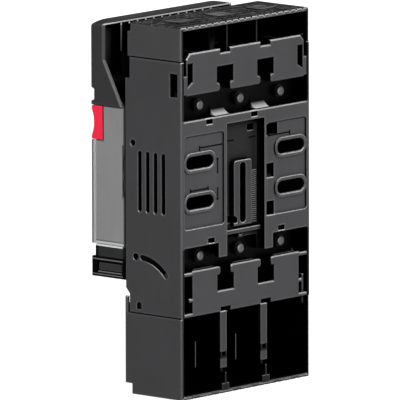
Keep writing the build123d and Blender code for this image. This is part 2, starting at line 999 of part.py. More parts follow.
def fuse_end_plates(x):
    """The two end plates of a fuse-link with their gripping lugs at the front."""
    half = fuse_body_width / 2 - end_plate_inset
    start = fuse_body_length / 2
    face = rectangle((-lug_front, -fuse_body_depth - end_plate_inset), (start, fuse_end))
    face += rectangle((-lug_front, -lug_back), (start, fuse_end + lug_reach))
    return both_ends(side_prism(face, x - half, x + half))


def fuse_blades(x):
    """The two knife blades of a fuse-link, bevelled at their tips."""
    blade = depth_block(
        (x - blade_thickness / 2, x + blade_thickness / 2),
        (blade_depth, blade_depth + blade_width),
        (fuse_end, fuse_length / 2),
    )
    tip_edges = blade.faces().sort_by(Axis.Z)[-1].edges()
    return both_ends(chamfer(tip_edges, blade_chamfer))


def cover_tongues(low, high, root):
    """Two tongues of a cover that slide along the insides of the base's side walls."""
    outer = inner_half - running_gap
    depth = (cover_tongue_depth, cover_tongue_depth + cover_tongue_width)
    tongue = depth_block((outer - cover_tongue_thickness, outer), depth, (low, high))
    tongue += depth_block((outer - cover_tongue_thickness, cover_half - cover_wall / 2), depth, root)
    return both_sides(tongue)


def breakout_grooves(edge, inward, depth_limit):
    """Grooves of the cable break-outs across the outer end face of a cover."""
    count = int(cover_inner / breakout_pitch)
    half = breakout_groove / 2
    heights = sorted((edge + inward * breakout_depth, edge - inward * overcut))
    return [
        depth_block(
            (i * breakout_pitch - half, i * breakout_pitch + half),
            (-overcut, depth_limit),
            heights,
        )
        for i in range(-count, count + 1)
    ]


def breakout_pads(outer_top):
    """Smooth raised patches on the upper cover, one over each pole."""
    half = breakout_pad_width / 2
    depths = (breakout_pad_start, breakout_pad_start + breakout_pad_length)
    heights = (outer_top - breakout_depth, upper_cover_top)
    return [depth_block((x - half, x + half), depths, heights) for x in poles]


def upper_terminal_cover():
    """Cover over the upper terminals, open to the back and down to the base."""
    nose_depth = upper_cover_depth - upper_nose_set_back
    outer_top = upper_cover_top - breakout_pad_rise
    nose_foot = outer_top - upper_nose_height
    shell = side_prism(
        outline(
            (-cover_back, upper_cover_foot),
            (-cover_back, outer_top),
            (-nose_depth, outer_top),
            (-nose_depth, nose_foot),
            (-upper_cover_depth, nose_foot),
            (-upper_cover_depth, upper_cover_foot),
        ),
        -cover_half,
        cover_half,
    )
    shell = soften_ends(shell, cover_chamfer)
    roof = outer_top - cover_wall
    hollow = depth_block(
        (-cover_inner, cover_inner),
        (-overcut, nose_depth - cover_wall),
        (upper_cover_foot - overcut, roof),
    )
    hollow += depth_block(
        (-cover_inner, cover_inner),
        (0, upper_cover_depth - cover_wall),
        (upper_cover_foot - overcut, nose_foot - cover_wall),
    )
    shell -= hollow
    for x in partitions:
        shell += depth_block(
            (x - cover_partition / 2, x + cover_partition / 2),
            (upper_partition_depth, nose_depth - cover_wall),
            (upper_cover_foot, roof),
        )
    fin_start = tongue_thickness + fin_gap
    shell += both_sides(
        depth_block(
            (fin_place, fin_place + fin_thickness),
            (fin_start, fin_start + fin_reach),
            (upper_cover_foot, roof),
        )
    )
    apron_half = inner_half - running_gap
    shell += depth_block(
        (-apron_half, apron_half),
        (upper_cover_depth - cover_wall, upper_cover_depth),
        (apron_foot + running_gap, upper_cover_foot),
    )
    shell += cover_tongues(
        upper_cover_foot - upper_tongue_length,
        upper_cover_foot + cover_tongue_root,
        (upper_cover_foot, upper_cover_foot + cover_tongue_root),
    )
    shell -= breakout_grooves(outer_top, -1, nose_depth - cover_wall)
    return shell + breakout_pads(outer_top)


def lower_cover_rails():
    """Partitions of the lower cover with the wide rails and clip feet at their back edges."""
    floor = lower_cover_bottom + cover_wall
    front = lower_cover_depth - lower_nose_set_back - cover_wall
    rail_foot = lower_cover_head - rail_length
    hole_middle = lower_cover_head - rail_hole_drop
    parts = []
    for x in partitions:
        wall = depth_block(
            (x - cover_partition / 2, x + cover_partition / 2),
            (cover_partition_depth, front),
            (floor, lower_cover_head),
        )
        wall += depth_block(
            (x - rail_width / 2, x + rail_width / 2),
            (rail_depth, rail_depth + rail_thickness),
            (rail_foot, lower_cover_head),
        )
        wall -= depth_block(
            (x - rail_hole / 2, x + rail_hole / 2),
            (0, rail_depth + rail_thickness / 2),
            (hole_middle - rail_hole / 2, hole_middle + rail_hole / 2),
        )
        wall += depth_block(
            (x - rib_thickness / 2, x + rib_thickness / 2),
            (cover_back, cover_partition_depth),
            (floor, rail_foot - rail_thickness),
        )
        wall += depth_block(
            (x - foot_clip_width / 2, x + foot_clip_width / 2),
            (cover_back, cover_back + cover_wall),
            (floor, floor + foot_clip_height),
        )
        parts.append(wall)
    return parts


def lower_terminal_cover():
    """Cover over the lower terminals; its front laps up over the base and is notched for the arms."""
    nose_depth = lower_cover_depth - lower_nose_set_back
    nose_top = lower_cover_bottom + lower_nose_height
    lap_top = lower_cover_head + lower_cover_lap
    shell = side_prism(
        outline(
            (-cover_back, lower_cover_head),
            (-cover_back, lower_cover_bottom),
            (-nose_depth, lower_cover_bottom),
            (-nose_depth, nose_top),
            (-lower_cover_depth, nose_top),
            (-lower_cover_depth, lap_top),
            (-lower_cover_depth + cover_wall, lap_top),
            (-lower_cover_depth + cover_wall, lower_cover_head),
        ),
        -cover_half,
        cover_half,
    )
    shell = soften_ends(shell, cover_chamfer)
    floor = lower_cover_bottom + cover_wall
    hollow = depth_block(
        (-cover_inner, cover_inner),
        (-overcut, nose_depth - cover_wall),
        (floor, lower_cover_head + overcut),
    )
    hollow += depth_block(
        (-cover_inner, cover_inner),
        (0, lower_cover_depth - cover_wall),
        (nose_top + cover_wall, lower_cover_head + overcut),
    )
    shell -= hollow
    shell += lower_cover_rails()
    shell += cover_tongues(
        lower_cover_head - cover_tongue_root,
        lower_cover_head + lower_tongue_length,
        (lower_cover_head - cover_tongue_root, lower_cover_head),
    )
    shell -= both_sides(
        depth_block(
            (arm_inner - 2 * running_gap, inner_half + running_gap / 2),
            (lower_cover_depth - 2 * cover_wall, lower_cover_depth + overcut),
            (lap_top - arm_notch, lap_top + overcut),
        )
    )
    return shell - breakout_grooves(lower_cover_bottom, 1, nose_depth - cover_wall)


def hood():
    """Grey hood over the fuse-links: two sides and a stepped front with a slit for each pole."""
    shell = side_prism(
        outline(
            (-hood_back, hood_bottom),
            (-hood_back, hood_top),
            (-hood_step_depth, hood_top),
            (-hood_step_depth, hood_step),
            (-hood_front, hood_step),
            (-hood_front, hood_bottom),
        ),
        -half_width,
        half_width,
    )
    shell = soften_ends(shell, hood_chamfer)
    inner = half_width - hood_wall
    inner_step = hood_step_depth - hood_wall
    inner_front = hood_front - hood_wall
    shell -= side_prism(
        outline(
            (-hood_back + overcut, hood_bottom - overcut),
            (-hood_back + overcut, hood_top + overcut),
            (-inner_step, hood_top + overcut),
            (-inner_step, hood_step - hood_wall),
            (-inner_front, hood_step - hood_wall),
            (-inner_front, hood_bottom - overcut),
        ),
        -inner,
        inner,
    )
    bow_radius = (bow_length**2 / 4 + bow_sink**2) / (2 * bow_sink)
    bow = Pos(bow_radius - hood_back - bow_sink, bow_middle) * Circle(bow_radius)
    shell -= side_prism(bow, -half_width - overcut, half_width + overcut)
    for x in poles:
        shell -= depth_block(
            (x - view_width / 2, x + view_width / 2),
            (hood_front - 2 * hood_wall, hood_front + overcut),
            (view_bottom, view_top),
        )
    return shell + bar_rail(0, 0)


def bar_rail(extra, travel):
    """T-shaped rail of the release bar, grown by extra and lengthened to -X by the travel."""
    middle = (bar_low + bar_high) / 2
    span = (-rail_half_length - extra - travel, rail_half_length + extra)
    neck_end = hood_step_depth + rail_neck_length
    head_end = neck_end + rail_head_length
    neck = depth_block(
        span,
        (hood_step_depth - extra, neck_end),
        (middle - rail_neck / 2 - extra, middle + rail_neck / 2 + extra),
    )
    head = depth_block(
        span,
        (neck_end - extra, head_end + extra),
        (middle - rail_head / 2 - extra, middle + rail_head / 2 + extra),
    )
    return neck + head


def release_bar():
    """Red bar across the lid with a scooped front, sliding sideways on the T-rail."""
    middle = (bar_low + bar_high) / 2
    scoop_low = (-bar_front, bar_low + bar_lip)
    scoop_high = (-bar_front, bar_high - bar_lip)
    edges = Polyline(
        scoop_high,
        (-bar_front, bar_high),
        (-bar_back, bar_high),
        (-bar_back, bar_low),
        (-bar_front, bar_low),
        scoop_low,
    )
    scoop = ThreePointArc(scoop_low, (-bar_front + bar_scoop, middle), scoop_high)
    body = side_prism(make_face(edges + scoop), -half_width, half_width)
    return body - bar_rail(running_gap, bar_travel)


def front_window():
    """Clear window in front of the hood with probe holes and guides for the shutters."""
    half = half_width - window_side_inset
    top = hood_step - window_top_inset
    inner_depth = window_front - window_wall
    behind = hood_front - overcut
    tray = depth_block((-half, half), (hood_front, window_front), (hood_bottom, top))
    tray -= depth_block(
        (-half + window_wall, half - window_wall),
        (behind, inner_depth),
        (hood_bottom + window_wall, top - window_wall),
    )
    guide = shutter_width / 2 + running_gap
    outer = guide + guide_rib
    stop = shutter_low - running_gap
    slot = knob_size / 2 + running_gap
    for x in poles:
        guides = (x - outer, x + outer)
        tray += depth_block(guides, (hood_front, inner_depth), (stop - guide_rib, guide_end))
        tray -= depth_block((x - guide, x + guide), (behind, inner_depth), (stop, guide_end + overcut))
        for height in probe_heights:
            hole = Pos(x, height) * Circle(probe_opening / 2)
            tray -= back_prism(hole, inner_depth - overcut, window_front + overcut)
        tray -= depth_block(
            (x - slot, x + slot),
            (inner_depth - overcut, window_front + overcut),
            (knob_height - slot, knob_height + slot + shutter_travel),
        )
    return tray


def probe_shutter(x):
    """Sliding shutter of one pole; raised, its holes come behind those of the window."""
    half = shutter_width / 2
    plate = depth_block(
        (x - half, x + half),
        (shutter_back, shutter_back + shutter_thickness),
        (shutter_low, shutter_high),
    )
    for height in probe_heights:
        hole = Pos(x, height - shutter_travel) * Circle(probe_opening / 2)
        plate -= back_prism(hole, hood_front, window_front)
    knob = knob_size / 2
    return plate + depth_block(
        (x - knob, x + knob), (shutter_back, window_front), (knob_height - knob, knob_height + knob)
    )


def fuse_grip(x, seat):
    """Bridge under the top shelf with two lips that hold the upper gripping lug of a fuse-link."""
    span = (x - grip_width / 2, x + grip_width / 2)
    back = lug_back - seat_gap
    front = lug_front + seat_gap
    low = fuse_end + lug_reach - grip_hold
    bridge_low = fuse_end + lug_reach + shelf_gap - grip_bridge
    grip = depth_block(span, (back - grip_lip, front + grip_lip), (bridge_low, seat))
    grip += depth_block(span, (back - grip_lip, back), (low, bridge_low))
    return grip + depth_block(span, (front, front + grip_lip), (low, bridge_low))


def fuse_grips(x):
    """The two grips of one pole, seated on the upper and on the lower shelf of the frame."""
    upper = fuse_grip(x, frame_top - frame_wall)
    lower = fuse_grip(x, -foot_top - frame_wall)
    return [upper, mirror(lower, Plane.XY)]


def hinge_arm():
    """Fan-shaped arm at +X from the foot block to the trunnion and the stop pin."""
    radius = stop_radius + stop_pin_radius + arm_margin
    fan_start = stop_angle - arm_fan_lead
    arc = CenterArc((-pivot_depth, pivot_height), radius, fan_start, lid_travel + arm_fan_extra)
    toe_foot = pivot_height - arm_toe + arm_toe_rise
    rest = Polyline(
        arc @ 1,
        (-hood_back, block_top - arm_seat),
        (-hood_back, block_bottom + arm_seat),
        (-pivot_depth - arm_toe, pivot_height + arm_shoulder),
        (-pivot_depth - arm_toe, pivot_height - arm_toe_rise),
        (-pivot_depth - arm_toe / 2, toe_foot),
        (-pivot_depth + arm_toe / 2, toe_foot),
        arc @ 0,
    )
    face = make_face(arc + rest)
    face += rectangle(
        (-window_front + frame_wall, -hood_back), (block_bottom + frame_wall, block_top - arm_seat)
    )
    arm = side_prism(face, arm_inner, arm_outer)
    y, z = pivot_point(stop_radius, stop_angle)
    arm -= cross_pin(stop_pin_radius, -y, z, arm_inner - overcut, arm_outer + overcut)
    trunnion = cross_pin(
        trunnion_radius, pivot_depth, pivot_height, arm_outer, inner_half - seat_gap
    )
    return arm + trunnion


def stop_pin():
    """Steel pin in the arm at +X that runs in the stop slot of the side wall."""
    y, z = pivot_point(stop_radius, stop_angle)
    return cross_pin(stop_pin_radius, -y, z, arm_inner, half_width - running_gap)


def foot_block():
    """Hollow foot of the lid: a skirt under the hood and a block with sunk end panels."""
    skirt = depth_block((-half_width, half_width), (hood_back, hood_front), (block_top, foot_top))
    foot = depth_block((-half_width, half_width), (hood_back, window_front), (block_bottom, block_top))
    foot = soften_ends(foot, block_chamfer)
    inner = half_width - frame_wall
    hollow = depth_block(
        (-inner, inner),
        (0, hood_front - frame_wall),
        (block_top - frame_wall, foot_top - frame_wall),
    )
    hollow += depth_block(
        (-inner, inner),
        (0, window_front - frame_wall),
        (block_bottom + frame_wall, block_top - frame_wall),
    )
    sunk = half_width - block_recess
    depths = (hood_back + block_recess_inset, window_front - 2 * block_recess_inset)
    low = block_bottom + block_recess_inset
    recess = depth_block((sunk, half_width + overcut), depths, (low, block_top - block_recess_inset))
    for i in range(block_ledge_count):
        height = low + (i + 1) * block_ledge_pitch
        recess -= depth_block((sunk, sunk + block_recess / 2), depths, (height, height + block_ledge))
    return skirt + foot - hollow - both_sides(recess)


def hinge_foot():
    """Foot of the lid with both hinge arms, seated under the frame."""
    return foot_block() + both_sides(hinge_arm())


def lid_frame():
    """Black frame inside the hood: ribs between the poles, and a shelf at each end."""
    back = hood_back + running_gap
    step_front = hood_step_depth - hood_wall - running_gap
    step = hood_step - hood_wall - seat_gap
    rib_face = outline(
        (-back, foot_top),
        (-back, frame_top),
        (-step_front, frame_top),
        (-step_front, step),
        (-frame_front, step),
        (-frame_front, foot_top),
    )
    frame = Part() + both_sides(side_prism(rib_face, frame_half - frame_wall, frame_half))
    for x in partitions:
        frame += side_prism(rib_face, x - partition_wall / 2, x + partition_wall / 2)
    across = (-frame_half, frame_half)
    frame += depth_block(across, (back, step_front), (frame_top - frame_wall, frame_top))
    frame += depth_block(across, (back, frame_front), (foot_top, foot_top + frame_wall))
    return frame


def handle_outline():
    """Flank of the handle in Y-Z, with the grip groove in its front."""
    groove_floor = -handle_front + handle_groove_depth
    groove_low = frame_top + handle_groove_foot
    groove_high = groove_low + handle_groove_height
    back = -handle_front + handle_thickness
    return outline(
        (-handle_front, handle_top),
        (back, handle_top),
        (back, handle_top - handle_straight_length),
        (-handle_foot_depth, frame_top),
        (-handle_front, frame_top),
        (-handle_front, groove_low - handle_groove_slope),
        (groove_floor, groove_low),
        (groove_floor, groove_high - handle_groove_slope),
        (-handle_front, groove_high),
    )


def handle_front_view():
    """Handle in X-Z, whose top edge falls off in a long arc towards each end."""
    shoulder = half_width - handle_fall_length
    low = handle_top - handle_fall
    right = TangentArc((shoulder, handle_top), (half_width, low), tangent=(1, 0))
    left = TangentArc((-shoulder, handle_top), (-half_width, low), tangent=(-1, 0))
    top = Line((-shoulder, handle_top), (shoulder, handle_top))
    sides = Polyline((-half_width, low), (-half_width, frame_top), (half_width, frame_top), (half_width, low))
    return make_face(top + right + sides + left)


def handle_body():
    """Outer form of the handle with its front top edge rounded from end to end."""
    body = side_prism(handle_outline(), -half_width, half_width)
    body &= back_prism(handle_front_view(), 0, handle_front + overcut)
    front = body.edges().group_by(Axis.Y)[0]
    rim = [edge for edge in front if edge.center().Z > handle_top - handle_fall]
    return soften_ends(fillet(rim, handle_round), handle_chamfer)


def lid_handle():
    """Grip across the top of the lid, hollow and ribbed towards the back."""
    grip = handle_body()
    inner = half_width - handle_wall
    inner_front = handle_front - handle_groove_depth - handle_wall
    groove_high = frame_top + handle_groove_foot + handle_groove_height
    roof = handle_top - handle_wall
    grip -= depth_block((-inner, inner), (0, inner_front), (frame_top + handle_wall, groove_high))
    grip -= depth_block((-inner, inner), (0, handle_front - handle_wall), (groove_high, roof))
    rib_back = handle_front - handle_thickness + handle_rib_inset
    outermost = half_width - handle_rib_edge
    pitch = 2 * outermost / (handle_rib_count - 1)
    half = handle_rib_thickness / 2
    for i in range(handle_rib_count):
        x = i * pitch - outermost
        length = deep_rib_length if i in (0, handle_rib_count - 1) else handle_rib_length
        grip += depth_block(
            (x - half, x + half), (rib_back, handle_front - handle_wall), (handle_top - length, roof)
        )
    return grip


def write(name, solids, colour):
    """Write one named node; a list becomes a group of separate solids."""
    if isinstance(solids, list):
        shape = Compound(children=[Part() + solid for solid in solids])
    else:
        shape = solids
    shape.label = name
    shape.color = Color(*colour)
    export_step(shape, f"parts/{name}.step")


black = (0.05, 0.05, 0.055)
grey = (0.5, 0.5, 0.5)
clear = (0.8, 0.85, 0.88)
red = (0.9, 0.05, 0.15)
copper = (0.8, 0.7, 0.6)
steel = (0.6, 0.6, 0.62)
ceramic = (0.85, 0.83, 0.78)
buff = (0.5, 0.42, 0.33)

write("base_housing", base_housing(), black)
write("upper_terminal_cover", upper_terminal_cover(), black)
write("lower_terminal_cover", lower_terminal_cover(), black)
write("hood", hood(), grey)
write("front_window", front_window(), clear)
write("release_bar", release_bar(), red)
write("lid_frame", lid_frame(), black)
write("hinge_foot", hinge_foot(), black)
write("lid_handle", lid_handle(), black)
write("stop_pins", both_sides(stop_pin()), steel)

pole_names = ["left", "middle", "right"]
for name, x in zip(pole_names, poles):
    write(f"upper_contact_{name}", contact(x), copper)
    write(f"lower_contact_{name}", mirror(contact(x), Plane.XY), copper)
    write(f"upper_jaw_springs_{name}", jaw_springs(x), steel)
    write(f"lower_jaw_springs_{name}", [mirror(s, Plane.XY) for s in jaw_springs(x)], steel)
    write(f"arc_chute_{name}", arc_chute(x), buff)
    write(f"arc_plates_{name}", arc_plates(x), steel)
    write(f"fuse_body_{name}", fuse_body(x), ceramic)
    write(f"fuse_end_plates_{name}", fuse_end_plates(x), steel)
    write(f"fuse_blades_{name}", fuse_blades(x), steel)
    write(f"fuse_grips_{name}", fuse_grips(x), black)
    write(f"probe_shutter_{name}", probe_shutter(x), grey)

groups = {
    "contact_screws": [contact_screw_solid(x, 0) for x in poles],
    "terminal_bolts": [terminal_bolt_solid(x) for x in poles],
    "terminal_washers": [washer(x) for x in poles],
    "terminal_nuts": [terminal_nut(x) for x in poles],
}
for name, upper_row in groups.items():
    write(name, [solid for upper in upper_row for solid in both_ends(upper)], steel)
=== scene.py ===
import json
from math import radians

import bmesh
import bpy
from mathutils import Matrix, Vector


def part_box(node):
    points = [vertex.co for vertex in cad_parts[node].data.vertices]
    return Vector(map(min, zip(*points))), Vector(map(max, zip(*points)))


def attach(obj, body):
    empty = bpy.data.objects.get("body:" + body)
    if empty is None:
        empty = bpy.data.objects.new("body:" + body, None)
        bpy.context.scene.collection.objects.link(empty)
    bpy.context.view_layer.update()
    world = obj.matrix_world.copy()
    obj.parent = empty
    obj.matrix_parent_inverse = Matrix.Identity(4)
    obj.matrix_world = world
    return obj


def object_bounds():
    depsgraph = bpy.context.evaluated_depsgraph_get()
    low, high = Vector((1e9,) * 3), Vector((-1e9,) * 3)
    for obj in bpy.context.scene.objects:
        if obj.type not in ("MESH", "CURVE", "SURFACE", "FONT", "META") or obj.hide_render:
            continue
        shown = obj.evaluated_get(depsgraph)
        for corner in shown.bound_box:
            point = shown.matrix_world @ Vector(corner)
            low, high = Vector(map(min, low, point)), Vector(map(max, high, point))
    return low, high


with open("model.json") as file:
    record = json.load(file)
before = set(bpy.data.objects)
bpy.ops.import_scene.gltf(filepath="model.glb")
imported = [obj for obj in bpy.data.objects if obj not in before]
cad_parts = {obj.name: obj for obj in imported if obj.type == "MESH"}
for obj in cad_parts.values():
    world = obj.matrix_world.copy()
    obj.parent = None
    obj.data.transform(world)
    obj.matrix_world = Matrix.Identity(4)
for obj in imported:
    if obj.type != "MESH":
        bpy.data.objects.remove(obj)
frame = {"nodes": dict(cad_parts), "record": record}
cad_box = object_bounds()

# Sizes are in millimetres unless a name or comment says metres. Every CAD node's object coordinates are the
# part's own: X to the side, -Y the depth from the mounting face, Z the height.

MM = 0.001

# Colour of the black mouldings, their edges and glints as painted highlights, and the black of painted
# shadows
BLACK = (0.043, 0.043, 0.045, 1.0)
EDGE = 2.2
EDGE_MM = 1.0
GLINT = 0.85
NO_LIGHT = 0.001

# Places on the part
COVER_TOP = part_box("upper_terminal_cover")[1][2] / MM
HOOD_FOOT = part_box("hood")[0][2] / MM
HANDLE_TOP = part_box("lid_handle")[1][2] / MM
HANDLE_WALL = 2.0
UPPER_SEAM = 66.9
LOWER_SEAM = -73.2
PANEL_TOP = 26.0
PANEL_DEPTH = 0.8
CHANNEL_DEPTH = 5.0

# Ends of the shadows in height, and a limit on the way a face looks that cuts none off
SHADE_TOP = 66.5
SHADE_FOOT = -116.8
NO_LIMIT = 1.2

# Notches along the lower cover's back edge
TOOTH_GROUPS = (7.5, 25.6, 41.0)
TOOTH_GROUP_HALF = 3.3
TOOTH_PITCH = 1.32
TOOTH_SHARE = 0.55

SLOT_OF = {part["node"]: part["material_slot"] for part in frame["record"]["subparts"]}


def scaled(colour, factor):
    return tuple(min(1.0, c * factor) for c in colour[:3]) + (1.0,)


def grey(level):
    return (level, level, level, 1.0)


# Shader building blocks

class Shader:
    """A node material with a Principled surface, built up by small steps."""

    def __init__(self, name):
        self.material = bpy.data.materials.new(name)
        self.material.use_nodes = True
        self.tree = self.material.node_tree
        self.surface = self.tree.nodes["Principled BSDF"]
        self.place = self.add("ShaderNodeTexCoord").outputs["Object"]
        x, y, z = self.axes(self.place)
        facing = self.axes(self.add("ShaderNodeNewGeometry").outputs["Normal"])
        self.lengths = {
            "x": x,
            "side": self.maths("ABSOLUTE", x),
            "depth": self.maths("MULTIPLY", y, -1.0),
            "height": z,
        }
        self.facings = {"outward": facing[0], "rearward": facing[1], "upward": facing[2]}

    def add(self, kind, **values):
        node = self.tree.nodes.new(kind)
        for key, value in values.items():
            setattr(node, key, value)
        return node

    def link(self, source, target):
        if isinstance(source, bpy.types.NodeSocket):
            self.tree.links.new(source, target)
        else:
            target.default_value = source

    def set(self, **inputs):
        """Link or set inputs of the surface; an underscore stands for a space in a socket's name."""
        for key, value in inputs.items():
            self.link(value, self.surface.inputs[key.replace("_", " ")])

    def stretched(self, scale):
        """Object coordinates scaled on each axis."""
        node = self.add("ShaderNodeMapping")
        self.link(self.place, node.inputs["Vector"])
        node.inputs["Scale"].default_value = scale
        return node.outputs["Vector"]

    def noise(self, size_mm, detail=3.0, stretch=(1.0, 1.0, 1.0), rough=0.55):
        """Noise with features of about that size, from 0 to 1."""
        node = self.add("ShaderNodeTexNoise")
        self.link(self.stretched([s / (size_mm * MM) for s in stretch]), node.inputs["Vector"])
        node.inputs["Scale"].default_value = 1.0
        node.inputs["Detail"].default_value = detail
        node.inputs["Roughness"].default_value = rough
        return node.outputs["Fac"]

    def remap(self, value, low, high, to_low, to_high):
        node = self.add("ShaderNodeMapRange")
        self.link(value, node.inputs["Value"])
        for key, number in zip(("From Min", "From Max", "To Min", "To Max"), (low, high, to_low, to_high)):
            self.link(number, node.inputs[key])
        return node.outputs["Result"]

    def maths(self, operation, a, b=0.0):
        node = self.add("ShaderNodeMath", operation=operation)
        self.link(a, node.inputs[0])
        self.link(b, node.inputs[1])
        return node.outputs["Value"]

    def mix(self, factor, a, b):
        node = self.add("ShaderNodeMix", data_type="RGBA")
        self.link(factor, node.inputs[0])
        self.link(a, node.inputs[6])
        self.link(b, node.inputs[7])
        return node.outputs[2]

    def between(self, value, low, high, soft):
        """1 between two limits, rising over the first soft stretch and falling over a short last one."""
        last = min(soft, 0.2 * MM if abs(soft) < 0.05 else soft)
        rise = self.remap(value, low, low + soft, 0.0, 1.0)
        return self.maths("MULTIPLY", rise, self.remap(value, high - last, high, 1.0, 0.0))

    def region(self, limits):
        """1 inside limits of x, side, depth or height, or of the way that a face looks.

        A length's limits may have a third number, over which the mask rises from its low limit."""
        inside = 1.0
        for key, (low, high, *soft) in limits.items():
            if key in self.facings:
                part = self.between(self.facings[key], low, high, 0.1)
            else:
                soft_mm = soft[0] if soft else 0.2
                part = self.between(self.lengths[key], low * MM, high * MM, soft_mm * MM)
            inside = self.maths("MULTIPLY", inside, part)
        return inside

    def rounded(self, radius_mm):
        """Normal with softened edges, a mask of outward edges, and one of the ledges that catch the light."""
        bevel = self.add("ShaderNodeBevel", samples=6)
        bevel.inputs["Radius"].default_value = radius_mm * MM
        inward = self.add("ShaderNodeAmbientOcclusion", samples=8, inside=True, only_local=True)
        inward.inputs["Distance"].default_value = radius_mm * MM
        edges = self.remap(inward.outputs["AO"], 0.96, 0.78, 0.0, 1.0)
        turned = self.axes(bevel.outputs["Normal"])
        ledges = self.maths("MULTIPLY", self.remap(turned[1], 0.1, 0.4, 0.0, 1.0), edges)
        ledges = self.maths("MULTIPLY", self.remap(turned[2], 0.15, 0.5, 0.0, 1.0), ledges)
        return bevel.outputs["Normal"], edges, ledges

    def painted_light_share(self, reach_mm, low, high, dark, own=False):
        """Share of light left by painted shade: 1 on open faces, falling to dark deep inside hollows; own
        looks at the same piece only.
        """
        node = self.add("ShaderNodeAmbientOcclusion", samples=8, only_local=own)
        node.inputs["Distance"].default_value = reach_mm * MM
        return self.remap(node.outputs["AO"], low, high, dark, 1.0)

    def axes(self, vector):
        """The three numbers of a vector."""
        node = self.add("ShaderNodeSeparateXYZ")
        self.link(vector, node.inputs[0])
        return [node.outputs[i] for i in range(3)]

    def shade(self, colour, factor):
        node = self.add("ShaderNodeVectorMath", operation="SCALE")
        self.link(colour, node.inputs[0])
        self.link(factor, node.inputs["Scale"])
        return node.outputs["Vector"]

    def capped(self, colour, level):
        """A colour with no channel above a level."""
        node = self.add("ShaderNodeVectorMath", operation="MINIMUM")
        self.link(colour, node.inputs[0])
        node.inputs[1].default_value = (level, level, level)
        return node.outputs["Vector"]

    def bump(self, height, depth_mm, normal):
        node = self.add("ShaderNodeBump")
        self.link(height, node.inputs["Height"])
        node.inputs["Distance"].default_value = depth_mm * MM
        node.inputs["Strength"].default_value = 1.0
        self.link(normal, node.inputs["Normal"])
        return node.outputs["Normal"]


def moulded_plastic(name, colour, rough, grain_mm=0.22, grain_depth=0.012, edge=1.8, edge_mm=0.35,
                    hollow=0.25, shadows=(), glint=0.0, gloss=0.1):
    """Spark-eroded plastic: fine grain, soft flow mottling, edges pale from a painted highlight and from
    rubbing, and painted shade in hollows.

    shadows lists regions with the share of light left there; glint is the tone of ledges in the light."""
    s = Shader(name)
    normal, edges, ledges = s.rounded(edge_mm)
    flow = s.noise(18, 4, (1.0, 1.0, 0.45))
    grain = s.noise(grain_mm, 2)
    dust = s.noise(3.0, 5)
    wear_and_glint = s.noise(2.2, 3)
    body = s.mix(s.remap(flow, 0.3, 0.7, 0.0, 1.0), scaled(colour, 0.9), scaled(colour, 1.1))
    body = s.mix(s.remap(grain, 0.35, 0.65, 0.0, 0.35), body, scaled(colour, 1.35))
    body = s.mix(s.remap(dust, 0.62, 0.8, 0.0, 0.25), body, scaled(colour, 1.5))
    # Edges lightened: a painted highlight, uneven where rubbed
    body = s.mix(s.maths("MULTIPLY", edges, s.remap(wear_and_glint, 0.3, 0.7, 0.6, 1.0)), body, scaled(colour, edge))
    # Painted shade: colour darkened inside hollows, down to hollow at the deepest
    painted_light_share = s.painted_light_share(38, 0.52, 0.93, hollow, own=hollow < 0.1)
    if glint:
        # Painted glint on ledges that face up and back
        bright = s.maths("MULTIPLY", ledges, s.remap(wear_and_glint, 0.25, 0.6, 0.75, 1.0))
        body = s.mix(bright, body, grey(glint))
        # Painted shade in creases
        crevice_shade = s.painted_light_share(1.5, 0.6, 0.9, 0.15, own=True)
        painted_light_share = s.maths("MULTIPLY", painted_light_share, crevice_shade)
    # Painted shadows over the listed regions
    for limits, left in shadows:
        painted_light_share = s.maths("MULTIPLY", painted_light_share, s.remap(s.region(limits), 0.0, 1.0, 1.0, left))
    s.tone = s.shade(body, painted_light_share)
    s.normal = s.bump(grain, grain_depth, normal)
    shine = s.remap(flow, 0.3, 0.7, rough - 0.04, rough + 0.04)
    shine = s.maths("ADD", shine, s.maths("MULTIPLY", edges, -0.12))
    s.set(Base_Color=s.tone, Roughness=shine, Normal=s.normal)
    # The painted shade also dims the reflections
    s.set(Specular_IOR_Level=gloss, Specular_Tint=s.shade((1.0, 1.0, 1.0), painted_light_share))
    return s


def glinting_plastic(name, colour, rough, shadows, gloss=0.1):
    """Black moulding of the outer shells, with pale edges from painted highlights and rubbing, painted
    glints, and painted shade that turns hollows black.
    """
    return moulded_plastic(name, colour, rough, edge=EDGE, edge_mm=EDGE_MM, hollow=0.02, shadows=shadows,
                           glint=GLINT, gloss=gloss)


def worked_metal(name, colour, rough, stretch, line_mm=0.12, edge_mm=0.15):
    """Plated metal with fine working lines, bright edges, and painted shade in hollows."""
    s = Shader(name)
    normal, edges, _ = s.rounded(edge_mm)
    lines = s.noise(line_mm, 3, stretch)
    cloud = s.noise(4.0, 4)
    body = s.mix(s.remap(cloud, 0.35, 0.7, 0.0, 0.6), colour, scaled(colour, 0.72))
    body = s.mix(edges, body, scaled(colour, 1.25))
    # Painted shade in hollows
    body = s.shade(body, s.painted_light_share(12, 0.5, 0.95, 0.08))
    s.set(Base_Color=body, Metallic=1.0, Normal=s.bump(lines, 0.006, normal))
    s.set(Roughness=s.remap(lines, 0.3, 0.7, rough - 0.06, rough + 0.1))
    return s


# Base housing and lower cover

